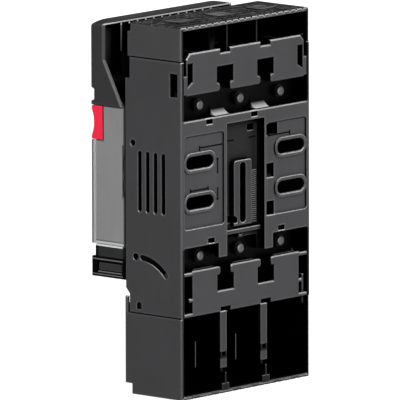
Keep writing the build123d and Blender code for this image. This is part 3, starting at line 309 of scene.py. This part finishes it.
# Regions with the share of light left there
BASE_SHADOWS = (
    ({"side": (-1.0, 52.4), "depth": (0.9, 36.0, 6.6), "height": (LOWER_SEAM, SHADE_TOP)}, 0.0),
    ({"side": (-1.0, 52.3), "depth": (0.15, 36.0), "outward": (0.5, NO_LIMIT)}, 0.08),
    ({"side": (-1.0, 52.2), "depth": (1.3, 38.5, 4.0), "height": (SHADE_FOOT, LOWER_SEAM)}, 0.0),
    ({"side": (-1.0, 50.0), "depth": (-1.0, 8.0), "height": (-117.8, -105.0)}, 0.2),
    ({"side": (13.9, 19.4), "depth": (-1.0, 6.0), "height": (-99.4, -95.4)}, 0.05),
    ({"side": (-1.0, 52.4), "depth": (5.05, 36.0, 0.3), "height": (LOWER_SEAM, SHADE_TOP)}, 0.0),
    ({"side": (50.4, 52.2), "depth": (-1.0, 36.0), "height": (34.6, SHADE_TOP)}, 0.05),
    ({"side": (50.4, 52.2), "depth": (-1.0, 36.0), "height": (SHADE_FOOT, -35.4)}, 0.05),
    ({"x": (-54.0, -51.9), "outward": (-0.5, 0.5), "depth": (5.0, 33.0), "height": (-56.0, -40.0)}, 0.05),
)
# Saddles painted pale as a highlight, fading out between the two depths
SADDLES = {"side": (11.0, 22.4), "depth": (-1.0, 6.9), "height": (34.3, 41.0)}
SADDLE_FADE = (1.5, 6.2)
# Painted highlights on the upper plate are capped at this tone
UPPER_PLATE = {"side": (-1.0, 52.3), "depth": (-1.0, 6.0), "height": (43.0, 66.6)}
UPPER_PLATE_CAP = 0.2
# Painted shadow line under the top edge of the sunk panels
PANEL_SHADOW_LINE = {
    "side": (17.6, 50.5),
    "depth": (0.5, 1.1),
    "rearward": (0.6, NO_LIMIT),
    "height": (PANEL_TOP - 0.9, PANEL_TOP + 0.3),
}
# Lower cover's back edge, painted with a highlight line and shaded notches, and its foot painted black as
# shade
COVER_BACK_EDGE = {"side": (-1.0, 52.0), "depth": (-1.0, 1.5), "height": (-118.1, -116.6)}
COVER_BACK_FOOT = {"height": (-118.2, -117.25)}


def black_moulding():
    """Base and lower cover: painted shade, black behind the back plate and in the rooms, and pale saddles as
    a painted highlight.
    """
    s = glinting_plastic("black_moulding", BLACK, 0.5, BASE_SHADOWS)
    # Cap on the painted highlights of the upper plate
    body = s.mix(s.region(UPPER_PLATE), s.tone, s.capped(s.tone, UPPER_PLATE_CAP))
    # Painted highlight on the saddles, fading with depth
    near, far = SADDLE_FADE
    fade = s.remap(s.lengths["depth"], near * MM, far * MM, 1.0, 0.0)
    body = s.mix(s.maths("MULTIPLY", s.region(SADDLES), fade), body, (0.85, 0.85, 0.86, 1.0))
    # Painted shadow under the sunk panels' top edges
    body = s.mix(s.region(PANEL_SHADOW_LINE), body, grey(NO_LIGHT))
    # Painted highlight and shade along the lower cover's back edge
    s.set(Base_Color=s.mix(s.region(COVER_BACK_EDGE), body, cut_teeth(s)))
    return s


def cut_teeth(s):
    """Colour along the lower cover's back edge: a pale painted highlight line, cut by groups of notches
    painted dark as shade, over black painted shade.
    """
    groups = 0.0
    for middle in TOOTH_GROUPS:
        group = s.region({"side": (middle - TOOTH_GROUP_HALF, middle + TOOTH_GROUP_HALF)})
        groups = s.maths("MAXIMUM", groups, group)
    stripe = s.maths("FRACT", s.maths("DIVIDE", s.lengths["x"], TOOTH_PITCH * MM))
    notch = s.maths("MULTIPLY", groups, s.maths("LESS_THAN", stripe, TOOTH_SHARE))
    dark = s.maths("MAXIMUM", notch, s.region(COVER_BACK_FOOT))
    return s.mix(dark, (0.16, 0.16, 0.165, 1.0), grey(NO_LIGHT))


# Handle and foot of the lid

ROOF = HANDLE_TOP - HANDLE_WALL
BLOCK_END = (51.0, 54.0)
# Regions of painted shadow, with the share of light left there
LID_SHADOWS = (
    ({"side": (-1.0, 50.6), "depth": (40.8, 62.0, 3.0), "height": (38.0, 82.4)}, 0.0),
    ({"upward": (0.75, NO_LIMIT), "height": (70.0, 90.0)}, 0.45),
    ({"side": BLOCK_END, "depth": (40.5, 66.0), "height": (-57.0, -44.3)}, 0.08),
    ({"side": BLOCK_END, "depth": (40.5, 42.3), "height": (-57.0, -38.0)}, 0.1),
    ({"side": BLOCK_END, "depth": (59.8, 66.0), "height": (-57.0, -39.0)}, 0.1),
    ({"side": BLOCK_END, "depth": (42.3, 59.8), "height": (-44.3, -38.0)}, 0.75),
)
# Where the painted highlight is taken off the handle's top back edge, and where painted highlights are capped
HANDLE_BACK_EDGE = {"depth": (55.6, 57.6), "height": (HANDLE_TOP - 1.3, HANDLE_TOP + 1.0)}
HANDLE_SLOPE = {"side": (50.0, 54.0), "depth": (41.0, 57.5), "height": (37.0, 66.5)}
HINGE_ARMS = {"side": (-1.0, 51.0), "depth": (-1.0, 39.0), "height": (-80.0, -36.0)}
BACK_FACES = {"rearward": (0.6, NO_LIMIT)}
RIB_BACKS = {"depth": (56.9, 57.6), **BACK_FACES}
# Places of painted highlights on the ribs and the rim
OUTER_RIBS = {"side": (36.0, 37.8), **RIB_BACKS, "height": (66.0, ROOF)}
RIB_ENDS = {"side": (-1.0, 38.0), **RIB_BACKS, "height": (ROOF - 1.6, ROOF)}
RIM = {"side": (-1.0, 52.0), "depth": (55.9, 56.6), **BACK_FACES, "height": (ROOF - 0.2, ROOF + 0.8)}
# Lowest and highest height of each painted highlight line across the foot's ends, and its tone
FOOT_LINES = ((-46.7, -45.9, 0.17), (-54.9, -54.2, 0.17), (-39.1, -38.0, 0.8))


def lid_moulding():
    """Handle and foot of the lid: painted shade black inside, painted highlights on the rib ends and rim, and
    lines across the foot's ends.
    """
    s = glinting_plastic("lid_moulding", scaled(BLACK, 0.85), 0.7, LID_SHADOWS, gloss=0.05)
    # Plain dark tone over the painted highlight on the handle's top back edge
    body = s.mix(s.region(HANDLE_BACK_EDGE), s.tone, (0.034, 0.034, 0.035, 1.0))
    # Caps that dim painted highlights on the sloped sides and hinge arms
    for limits, cap in ((HANDLE_SLOPE, 0.13), (HINGE_ARMS, 0.03)):
        body = s.mix(s.region(limits), body, s.capped(body, cap))
    # Painted highlights on the outer ribs' backs, the rib ends and the rim
    body = s.mix(s.region(OUTER_RIBS), body, grey(0.12))
    body = s.mix(s.maths("MAXIMUM", s.region(RIB_ENDS), s.region(RIM)), body, grey(0.5))
    # Painted highlight lines across the foot's ends
    for low, high, tone in FOOT_LINES:
        line = s.region({"side": (52.0, 54.0), "depth": (42.4, 64.4), "height": (low, high)})
        body = s.mix(line, body, grey(tone))
    s.set(Base_Color=body)
    return s


def panel_moulding():
    """Sunk end panel of the foot block, darker than the shell, and the ledge below it, painted pale as a
    highlight.
    """
    s = moulded_plastic("panel_moulding", scaled(BLACK, 0.3), 0.6, edge=3.0, edge_mm=0.3, hollow=0.5,
                        gloss=0.2)
    # Painted highlight on the ledge
    ledge = s.region({"height": (-53.7, -52.7)})
    s.set(Base_Color=s.mix(ledge, s.tone, grey(0.15)))
    return s


# Small pieces of the shells

def line_moulding():
    """Raised lines, near black as painted shade, darker than the panel they stand on."""
    return moulded_plastic("line_moulding", scaled(BLACK, 0.04), 0.8, edge=1.0, edge_mm=0.2, hollow=0.6,
                           gloss=0.03)


def line_rib():
    """Ribs painted a little brighter than the rooms they stand in as a highlight, and spared most painted
    shade.
    """
    return moulded_plastic("line_rib", scaled(BLACK, 1.2), 0.5, edge=2.0, edge_mm=0.3, hollow=0.9, gloss=0.2)


def painted_shade_moulding():
    """Near-black painted shade as a moulding that no light reaches: baffles and the fill of the seams."""
    return moulded_plastic("painted_shade_moulding", scaled(BLACK, 0.03), 0.85, edge=1.0, edge_mm=0.1, hollow=0.2,
                           gloss=0.0)


# Upper cover

# Regions of painted shadow, with the share of light left there
BREAKOUT_SHADOWS = (
    ({"side": (-1.0, 52.2), "depth": (0.7, 37.0, 2.4), "height": (40.0, 84.4)}, 0.0),
    ({"side": (50.4, 52.3), "depth": (-1.0, 36.0), "height": (60.0, 84.6)}, 0.05),
    ({"upward": (0.6, NO_LIMIT), "height": (84.6, 90.0)}, 0.5),
    ({"side": (-1.0, 52.3), "depth": (0.1, 36.0), "outward": (0.5, NO_LIMIT)}, 0.1),
)


def breakout_moulding():
    """Cover moulding whose end face is rough and streaked, with smooth rubbed patches over the poles."""
    s = glinting_plastic("breakout_moulding", BLACK, 0.5, BREAKOUT_SHADOWS, gloss=0.15)
    streaks = s.noise(1.6, 4, (0.3, 1.0, 1.0), 0.65)
    clouds = s.noise(5.0, 4, (0.4, 1.0, 1.0))
    rough = s.mix(s.remap(streaks, 0.5, 0.68, 0.0, 1.0), scaled(BLACK, 0.1), scaled(BLACK, 4.5))
    rubbed = s.mix(s.remap(clouds, 0.35, 0.6, 0.0, 1.0), scaled(BLACK, 0.8), scaled(BLACK, 4.5))
    height = s.lengths["height"]
    up = s.remap(s.facings["upward"], 0.6, 0.8, 0.0, 1.0)
    high = s.remap(height, (COVER_TOP - 1.4) * MM, (COVER_TOP - 1.2) * MM, 0.0, 1.0)
    patch = s.remap(height, (COVER_TOP - 0.3) * MM, (COVER_TOP - 0.2) * MM, 0.0, 1.0)
    top = s.maths("MULTIPLY", up, high)
    s.set(Base_Color=s.mix(top, s.tone, s.mix(patch, rough, rubbed)))
    s.set(Roughness=s.remap(top, 0.0, 1.0, 0.5, 0.95))
    s.set(Normal=s.bump(s.maths("MULTIPLY", top, streaks), 0.35, s.normal))
    return s


# Hood, bar, shutters and window

# Pale sill as a painted highlight, a dark line over it, and painted shade in strips along the back of the
# sides
HOOD_BANDS = (
    ({"height": (HOOD_FOOT - 1.0, HOOD_FOOT + 1.7)}, (0.56, 0.57, 0.58, 1.0)),
    ({"height": (HOOD_FOOT + 1.7, HOOD_FOOT + 2.4)}, grey(0.07)),
    ({"side": (52.0, 54.0), "depth": (40.0, 41.8)}, grey(0.006)),
    ({"side": (52.0, 54.0), "depth": (40.0, 42.6), "height": (-12.5, 18.0, 2.5)}, grey(0.006)),
)


def hood_grey():
    """Satin grey hood with a pale sill as a painted highlight, a dark line over it, and painted shade in dark
    strips down the back of its sides.
    """
    s = moulded_plastic("hood_grey", (0.225, 0.225, 0.227), 0.42, grain_mm=0.18, grain_depth=0.006, edge=1.3,
                        hollow=0.3, gloss=0.3)
    body = s.tone
    for limits, tone in HOOD_BANDS:
        body = s.mix(s.region(limits), body, tone)
    s.set(Base_Color=body)
    return s


def red_moulding():
    """Red bar with a little light scattered inside it."""
    s = moulded_plastic("red_moulding", (0.93, 0.012, 0.055), 0.38, grain_mm=0.2, grain_depth=0.006,
                        edge=1.15, gloss=0.3)
    s.set(Subsurface_Weight=0.04, Subsurface_Radius=(0.002, 0.0006, 0.0006))
    return s


def shutter_grey():
    return moulded_plastic("shutter_grey", (0.12, 0.12, 0.125), 0.55)


def clear_window():
    """Clear polycarbonate with faint flow lines, and a painted highlight on a flank and painted shade on a
    rim at its ends.
    """
    s = Shader("clear_window")
    normal, edges, _ = s.rounded(0.3)
    flow = s.noise(9, 2, (0.4, 1.0, 1.0))
    scuff = s.noise(0.6, 4, (1.0, 1.0, 6.0))
    # Painted highlight on the flank and painted shade on the rim, both on the side faces
    flank = s.region({"side": (52.4, 54.0), "depth": (61.5, 63.6)})
    rim = s.region({"side": (52.4, 54.0), "depth": (63.6, 66.0)})
    tint = s.mix(flank, (0.9, 0.92, 0.93, 1.0), grey(0.42))
    clear = s.maths("SUBTRACT", s.remap(edges, 0.0, 1.0, 0.94, 0.7), s.maths("MULTIPLY", flank, 0.9))
    s.set(IOR=1.585, Base_Color=s.mix(rim, tint, grey(0.1)))
    s.set(Transmission_Weight=s.maths("SUBTRACT", clear, s.maths("MULTIPLY", rim, 0.9)))
    s.set(Roughness=s.remap(scuff, 0.45, 0.75, 0.04, 0.16), Normal=s.bump(flow, 0.02, normal))
    return s


# Arc chutes, fuses and metals

# Depths painted near black as shade, where the chutes sit inside the housing
SHADED_DEPTHS = {"depth": (-1.0, 31.5)}


def arc_chute_board():
    """Moulded fibre board with short pale fibres, painted near black as shade towards its back."""
    s = moulded_plastic("arc_chute_board", (0.32, 0.24, 0.17), 0.7, grain_mm=0.3, grain_depth=0.03, edge=1.3)
    fibres = s.noise(0.25, 4, (6.0, 6.0, 1.0))
    mottled = s.mix(s.remap(fibres, 0.5, 0.72, 0.0, 0.8), (0.30, 0.23, 0.16, 1.0), (0.52, 0.43, 0.32, 1.0))
    # Painted shade: near black, with reflections dimmed
    painted_shade_zone = s.region(SHADED_DEPTHS)
    s.set(Base_Color=s.mix(painted_shade_zone, mottled, grey(0.004)))
    s.set(Specular_Tint=s.mix(painted_shade_zone, grey(1.0), grey(0.0)))
    return s


def fuse_ceramic():
    """Glazed steatite: warm white with faint specks under a glossy skin, painted shade black inside the
    closed housing.
    """
    s = Shader("fuse_ceramic")
    normal, edges, _ = s.rounded(0.4)
    cloud = s.noise(14, 4)
    specks = s.noise(0.5, 2)
    body = s.mix(s.remap(cloud, 0.35, 0.65, 0.0, 1.0), (0.74, 0.70, 0.62, 1.0), (0.82, 0.79, 0.72, 1.0))
    body = s.mix(s.remap(specks, 0.7, 0.76, 0.0, 0.6), body, (0.42, 0.36, 0.28, 1.0))
    body = s.mix(edges, body, (0.86, 0.84, 0.79, 1.0))
    # Painted shade in hollows, on colour, reflections and coat
    painted_light_share = s.painted_light_share(40, 0.7, 0.97, 0.0)
    s.set(Base_Color=s.shade(body, painted_light_share), Roughness=s.remap(cloud, 0.3, 0.7, 0.16, 0.26))
    s.set(Specular_Tint=s.shade((1.0, 1.0, 1.0), painted_light_share), Coat_Weight=s.maths("MULTIPLY", painted_light_share, 0.6))
    s.set(Coat_Roughness=0.08, Normal=s.bump(specks, 0.01, normal))
    return s


def screw_end():
    """Blunt thread ends, greased and dull."""
    return worked_metal("screw_end", grey(0.11), 0.42, (1.0, 1.0, 1.0), line_mm=0.3, edge_mm=2.3)


def black_steel():
    """Blackened steel of the stop pins."""
    return worked_metal("black_steel", (0.03, 0.03, 0.032, 1.0), 0.5, (0.1, 1.0, 1.0))


# Colour, roughness and stretch of the working lines
METALS = {
    "fuse_plate": ((0.72, 0.72, 0.73, 1.0), 0.34, (1.0, 1.0, 0.06)),
    "silvered_copper": ((0.78, 0.77, 0.74, 1.0), 0.26, (1.0, 0.05, 1.0)),
    "tinned_copper": ((0.70, 0.66, 0.60, 1.0), 0.38, (1.0, 1.0, 0.07)),
    "spring_steel": ((0.46, 0.47, 0.50, 1.0), 0.3, (1.0, 0.08, 1.0)),
    "zinc_steel": ((0.34, 0.34, 0.335, 1.0), 0.5, (1.0, 1.0, 1.0)),
}
FINISHES = (
    black_moulding, lid_moulding, line_moulding, line_rib, painted_shade_moulding, panel_moulding,
    breakout_moulding, hood_grey, red_moulding, shutter_grey, clear_window, arc_chute_board,
    fuse_ceramic, screw_end, black_steel,
)

# Nodes whose finish differs from their material slot
OTHER_FINISH = {
    "upper_terminal_cover": "breakout_moulding",
    "contact_screws": "screw_end",
    "stop_pins": "black_steel",
}


def build_materials():
    made = {make.__name__: make().material for make in FINISHES}
    for name, (colour, rough, stretch) in METALS.items():
        made[name] = worked_metal(name, colour, rough, stretch).material
    return made


def paint(obj, material):
    obj.data.materials.clear()
    obj.data.materials.append(material)


materials = build_materials()
for node, obj in frame["nodes"].items():
    paint(obj, materials[OTHER_FINISH.get(node, SLOT_OF[node])])


# Mesh pieces

LINE_HALF = 0.42
LINE_RISE = 0.3
TOP_LINE = 18.6
SHORT_LINE = -4.2
SLOT_PITCH_HALF = 11.0
CHANNEL_LINE_END = 15.0


def new_object(name, mesh):
    """Object in the scene from a bmesh, which is freed."""
    data = bpy.data.meshes.new(name)
    mesh.to_mesh(data)
    mesh.free()
    obj = bpy.data.objects.new(name, data)
    bpy.context.scene.collection.objects.link(obj)
    return obj


def finish_piece(name, mesh, slot, body="base", finish=None):
    """Turn a bmesh into a piece that rides on a CAD body."""
    bmesh.ops.recalc_face_normals(mesh, faces=mesh.faces)
    obj = new_object(name, mesh)
    paint(obj, materials[finish or slot])
    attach(obj, body)
    return obj


def raised_bar(mesh, x, z, depth, rise, draft=0.12):
    """Low moulded bar with sloping flanks on a face towards the back."""
    (x0, x1), (z0, z1) = x, z
    left, right, foot, top = x0 + draft, x1 - draft, z0 + draft, z1 - draft
    low = [(x0, z0), (x1, z0), (x1, z1), (x0, z1)]
    high = [(left, foot), (right, foot), (right, top), (left, top)]
    base = [mesh.verts.new((px * MM, -depth * MM, pz * MM)) for px, pz in low]
    crown = [mesh.verts.new((px * MM, (rise - depth) * MM, pz * MM)) for px, pz in high]
    mesh.faces.new(crown[::-1])
    for i in range(4):
        j = (i + 1) % 4
        mesh.faces.new((base[i], crown[i], crown[j], base[j]))


def line_x(mesh, x0, x1, z, depth):
    raised_bar(mesh, (x0, x1), (z - LINE_HALF, z + LINE_HALF), depth, LINE_RISE)


def line_z(mesh, x, z0, z1, depth):
    raised_bar(mesh, (x - LINE_HALF, x + LINE_HALF), (z0, z1), depth, LINE_RISE)


def dimension_lines():
    """Raised drill-pattern lines on the back plate, left bare of figures."""
    line_start, line_end, end_tick = 18.4, 37.5, 37.2
    upright, cross_start, cross_end = 22.4, 21.5, 24.5
    short_start, short_end, tick_half = 30.0, 45.0, 1.3
    mesh = bmesh.new()
    for side in (-1, 1):
        line_x(mesh, *sorted((side * line_start, side * line_end)), TOP_LINE, PANEL_DEPTH)
        line_z(mesh, side * end_tick, TOP_LINE - 2.2, TOP_LINE + 1.2, PANEL_DEPTH)
    line_x(mesh, 4.5, CHANNEL_LINE_END, TOP_LINE, CHANNEL_DEPTH)
    line_x(mesh, -CHANNEL_LINE_END, -8.0, TOP_LINE, CHANNEL_DEPTH)
    line_z(mesh, upright, -SLOT_PITCH_HALF, -4.5, PANEL_DEPTH)
    line_z(mesh, upright, 3.0, SLOT_PITCH_HALF, PANEL_DEPTH)
    for z in (-SLOT_PITCH_HALF, SLOT_PITCH_HALF):
        line_x(mesh, cross_start, cross_end, z, PANEL_DEPTH)
    line_x(mesh, short_start, short_end, SHORT_LINE, PANEL_DEPTH)
    for x in (short_start + 0.3, short_end - 0.3):
        line_z(mesh, x, SHORT_LINE - tick_half, SHORT_LINE + tick_half, PANEL_DEPTH)
    return finish_piece("dimension_lines", mesh, "black_moulding", finish="line_moulding")


def channel_scale():
    """Row of short raised bars beside the boss in the channel."""
    count, pitch, start, height, rise, draft = 26, 1.12, -28.0, 0.5, 0.4, 0.1
    mesh = bmesh.new()
    for i in range(count):
        z = start + i * pitch
        raised_bar(mesh, (-14.0, -9.6), (z, z + height), CHANNEL_DEPTH, rise, draft)
    return finish_piece("channel_scale", mesh, "black_moulding")


def thin_plate(mesh, x, depth, z, chamfer=0.15):
    """Flat plate with chamfered edges; its limits in Y are depths."""
    made = bmesh.ops.create_cube(mesh, size=1.0)["verts"]
    for vert in made:
        side = [vert.co[i] > 0 for i in range(3)]
        vert.co = Vector((x[side[0]], -depth[not side[1]], z[side[2]])) * MM
    edges = {edge for vert in made for edge in vert.link_edges}
    bmesh.ops.bevel(mesh, geom=list(edges), offset=chamfer * MM, segments=2, profile=0.5, affect="EDGES")


def vent_baffle(side, name):
    """Thin wall behind the vents of one side wall, on two ribs, near black as painted shade."""
    depth, low, high, rib_half = (9.5, 31.8), -19.8, 18.3, 0.4
    mesh = bmesh.new()
    thin_plate(mesh, sorted((side * 48.4, side * 49.2)), depth, (low, high))
    for z in (low + rib_half, high - rib_half):
        thin_plate(mesh, sorted((side * 49.0, side * 50.9)), depth, (z - rib_half, z + rib_half))
    return finish_piece(name, mesh, "black_moulding", finish="painted_shade_moulding")


def seam_fill(side, seam, name):
    """Thin strip, near black as painted shade, that fills the seam between a side wall and a terminal cover.
    """
    half = 0.15
    mesh = bmesh.new()
    thin_plate(mesh, sorted((side * 51.1, side * 52.7)), (0.3, 36.5), (seam - half, seam + half), 0.05)
    return finish_piece(name, mesh, "black_moulding", finish="painted_shade_moulding")


def end_panel(side, name):
    """Sunk panel and ledge in the recess at one end of the foot block."""
    mesh = bmesh.new()
    thin_plate(mesh, sorted((side * 52.55, side * 52.85)), (43.6, 59.6), (-52.1, -48.1), 0.1)
    thin_plate(mesh, sorted((side * 52.1, side * 52.9)), (43.4, 60.4), (-53.5, -52.8), 0.2)
    return finish_piece(name, mesh, "lid_moulding", "lid", "panel_moulding")


def room_ribs():
    """Short upright ribs on the partitions inside the lower cover's rooms."""
    width = 0.4
    mesh = bmesh.new()
    for x in (17.4, -15.9):
        thin_plate(mesh, (x, x + width), (21.1, 21.5), (-106.5, -92.2), 0.05)
    return finish_piece("room_ribs", mesh, "black_moulding", "lower_cover", "line_rib")


dimension_lines()
channel_scale()
room_ribs()
for side, hand in ((-1, "left"), (1, "right")):
    vent_baffle(side, f"vent_baffle_{hand}")
    end_panel(side, f"end_panel_{hand}")
    for seam, row in ((UPPER_SEAM, "upper"), (LOWER_SEAM, "lower")):
        seam_fill(side, seam, f"seam_fill_{row}_{hand}")


# Stage, light and camera

FLOOR_GLOW = 0.92
FLOOR_TONES = (0.52, 0.58)
FLOOR_GAP = 0.5
FLOOR_HALF_METRES = 14.0
WORLD_LEVEL = 0.05
LIGHT_TARGET = (0.0, -0.03, -0.01)
# Name, place in metres, side of the square in metres, power in watts
LIGHTS = (
    ("key_behind", (0.74, 1.25, 0.62), 0.9, 36.5),
    ("rim_above", (-1.35, 0.25, 1.20), 0.5, 2.0),
    ("fill_front", (-0.30, -1.50, 0.02), 0.9, 20.0),
)
SENSOR = 36.0
LENS = 1229.2
CAMERA_METRES = 7.4208
CLIP_METRES = 60.0
CAMERA_BACK = (0.7425, 0.6509, 0.1590)
CAMERA_RIGHT = (-0.6592, 0.7520, 0.0)
CAMERA_ROLL = radians(-0.15)
CAMERA_AIM = (4.3, -29.4, -16.9)


def seen_directly(tree):
    """1 for rays that show the background itself: from the camera, in gloss and through glass."""
    path = tree.nodes.new("ShaderNodeLightPath")
    value = path.outputs["Is Camera Ray"]
    for other in ("Is Glossy Ray", "Is Transmission Ray"):
        either = tree.nodes.new("ShaderNodeMath")
        either.operation = "MAXIMUM"
        tree.links.new(value, either.inputs[0])
        tree.links.new(path.outputs[other], either.inputs[1])
        value = either.outputs[0]
    return value


def pale_floor():
    """Material that shows as white but for a faint shadow, and lights the object as plain pale grey."""
    material = bpy.data.materials.new("pale_floor")
    material.use_nodes = True
    tree = material.node_tree
    surface = tree.nodes["Principled BSDF"]
    speckle = tree.nodes.new("ShaderNodeTexNoise")
    speckle.inputs["Scale"].default_value = 400.0
    tone = tree.nodes.new("ShaderNodeMapRange")
    for key, number in zip(("To Min", "To Max"), FLOOR_TONES):
        tone.inputs[key].default_value = number
    tree.links.new(speckle.outputs["Fac"], tone.inputs["Value"])
    tree.links.new(tone.outputs["Result"], surface.inputs["Base Color"])
    surface.inputs["Roughness"].default_value = 0.9
    surface.inputs["Emission Color"].default_value = (1.0, 1.0, 1.0, 1.0)
    glow = tree.nodes.new("ShaderNodeMath")
    glow.operation = "MULTIPLY"
    glow.inputs[1].default_value = FLOOR_GLOW
    tree.links.new(seen_directly(tree), glow.inputs[0])
    tree.links.new(glow.outputs[0], surface.inputs["Emission Strength"])
    return material


def floor():
    mesh = bmesh.new()
    bmesh.ops.create_grid(mesh, x_segments=4, y_segments=4, size=FLOOR_HALF_METRES)
    bmesh.ops.translate(mesh, verts=mesh.verts, vec=(0, 0, cad_box[0][2] - FLOOR_GAP * MM))
    obj = new_object("floor", mesh)
    paint(obj, pale_floor())
    return obj


def soft_world(level):
    """White wherever it is seen, and an even soft grey as light."""
    world = bpy.data.worlds.new("studio")
    bpy.context.scene.world = world
    world.use_nodes = True
    tree = world.node_tree
    mix = tree.nodes.new("ShaderNodeMix")
    mix.data_type = "RGBA"
    tree.links.new(seen_directly(tree), mix.inputs[0])
    mix.inputs[6].default_value = (level, level, level, 1.0)
    mix.inputs[7].default_value = (1.0, 1.0, 1.0, 1.0)
    tree.links.new(mix.outputs[2], tree.nodes["Background"].inputs["Color"])


def softbox(name, place, side, power):
    """Square area light that looks at the part."""
    data = bpy.data.lights.new(name, "AREA")
    data.shape = "RECTANGLE"
    data.size = data.size_y = side
    data.energy = power
    obj = bpy.data.objects.new(name, data)
    bpy.context.scene.collection.objects.link(obj)
    obj.location = place
    obj.rotation_euler = (Vector(LIGHT_TARGET) - Vector(place)).to_track_quat("-Z", "Y").to_euler()
    return obj


def camera():
    """Long lens behind the object's right-hand corner, a little above it, as in the photograph."""
    data = bpy.data.cameras.new("camera")
    data.sensor_width = SENSOR
    data.lens = LENS
    data.clip_end = CLIP_METRES
    obj = bpy.data.objects.new("camera", data)
    bpy.context.scene.collection.objects.link(obj)
    back = Vector(CAMERA_BACK).normalized()
    right = Vector(CAMERA_RIGHT).normalized()
    up = back.cross(right).normalized()
    turn = Matrix((right, up, back)).transposed().to_4x4()
    roll = Matrix.Rotation(CAMERA_ROLL, 4, "Z")
    place = Vector(CAMERA_AIM) * MM + back * CAMERA_METRES
    obj.matrix_world = Matrix.Translation(place) @ turn @ roll
    bpy.context.scene.camera = obj
    return obj


floor()
soft_world(WORLD_LEVEL)
for light in LIGHTS:
    softbox(*light)
camera()
bpy.context.scene.view_settings.view_transform = "Standard"
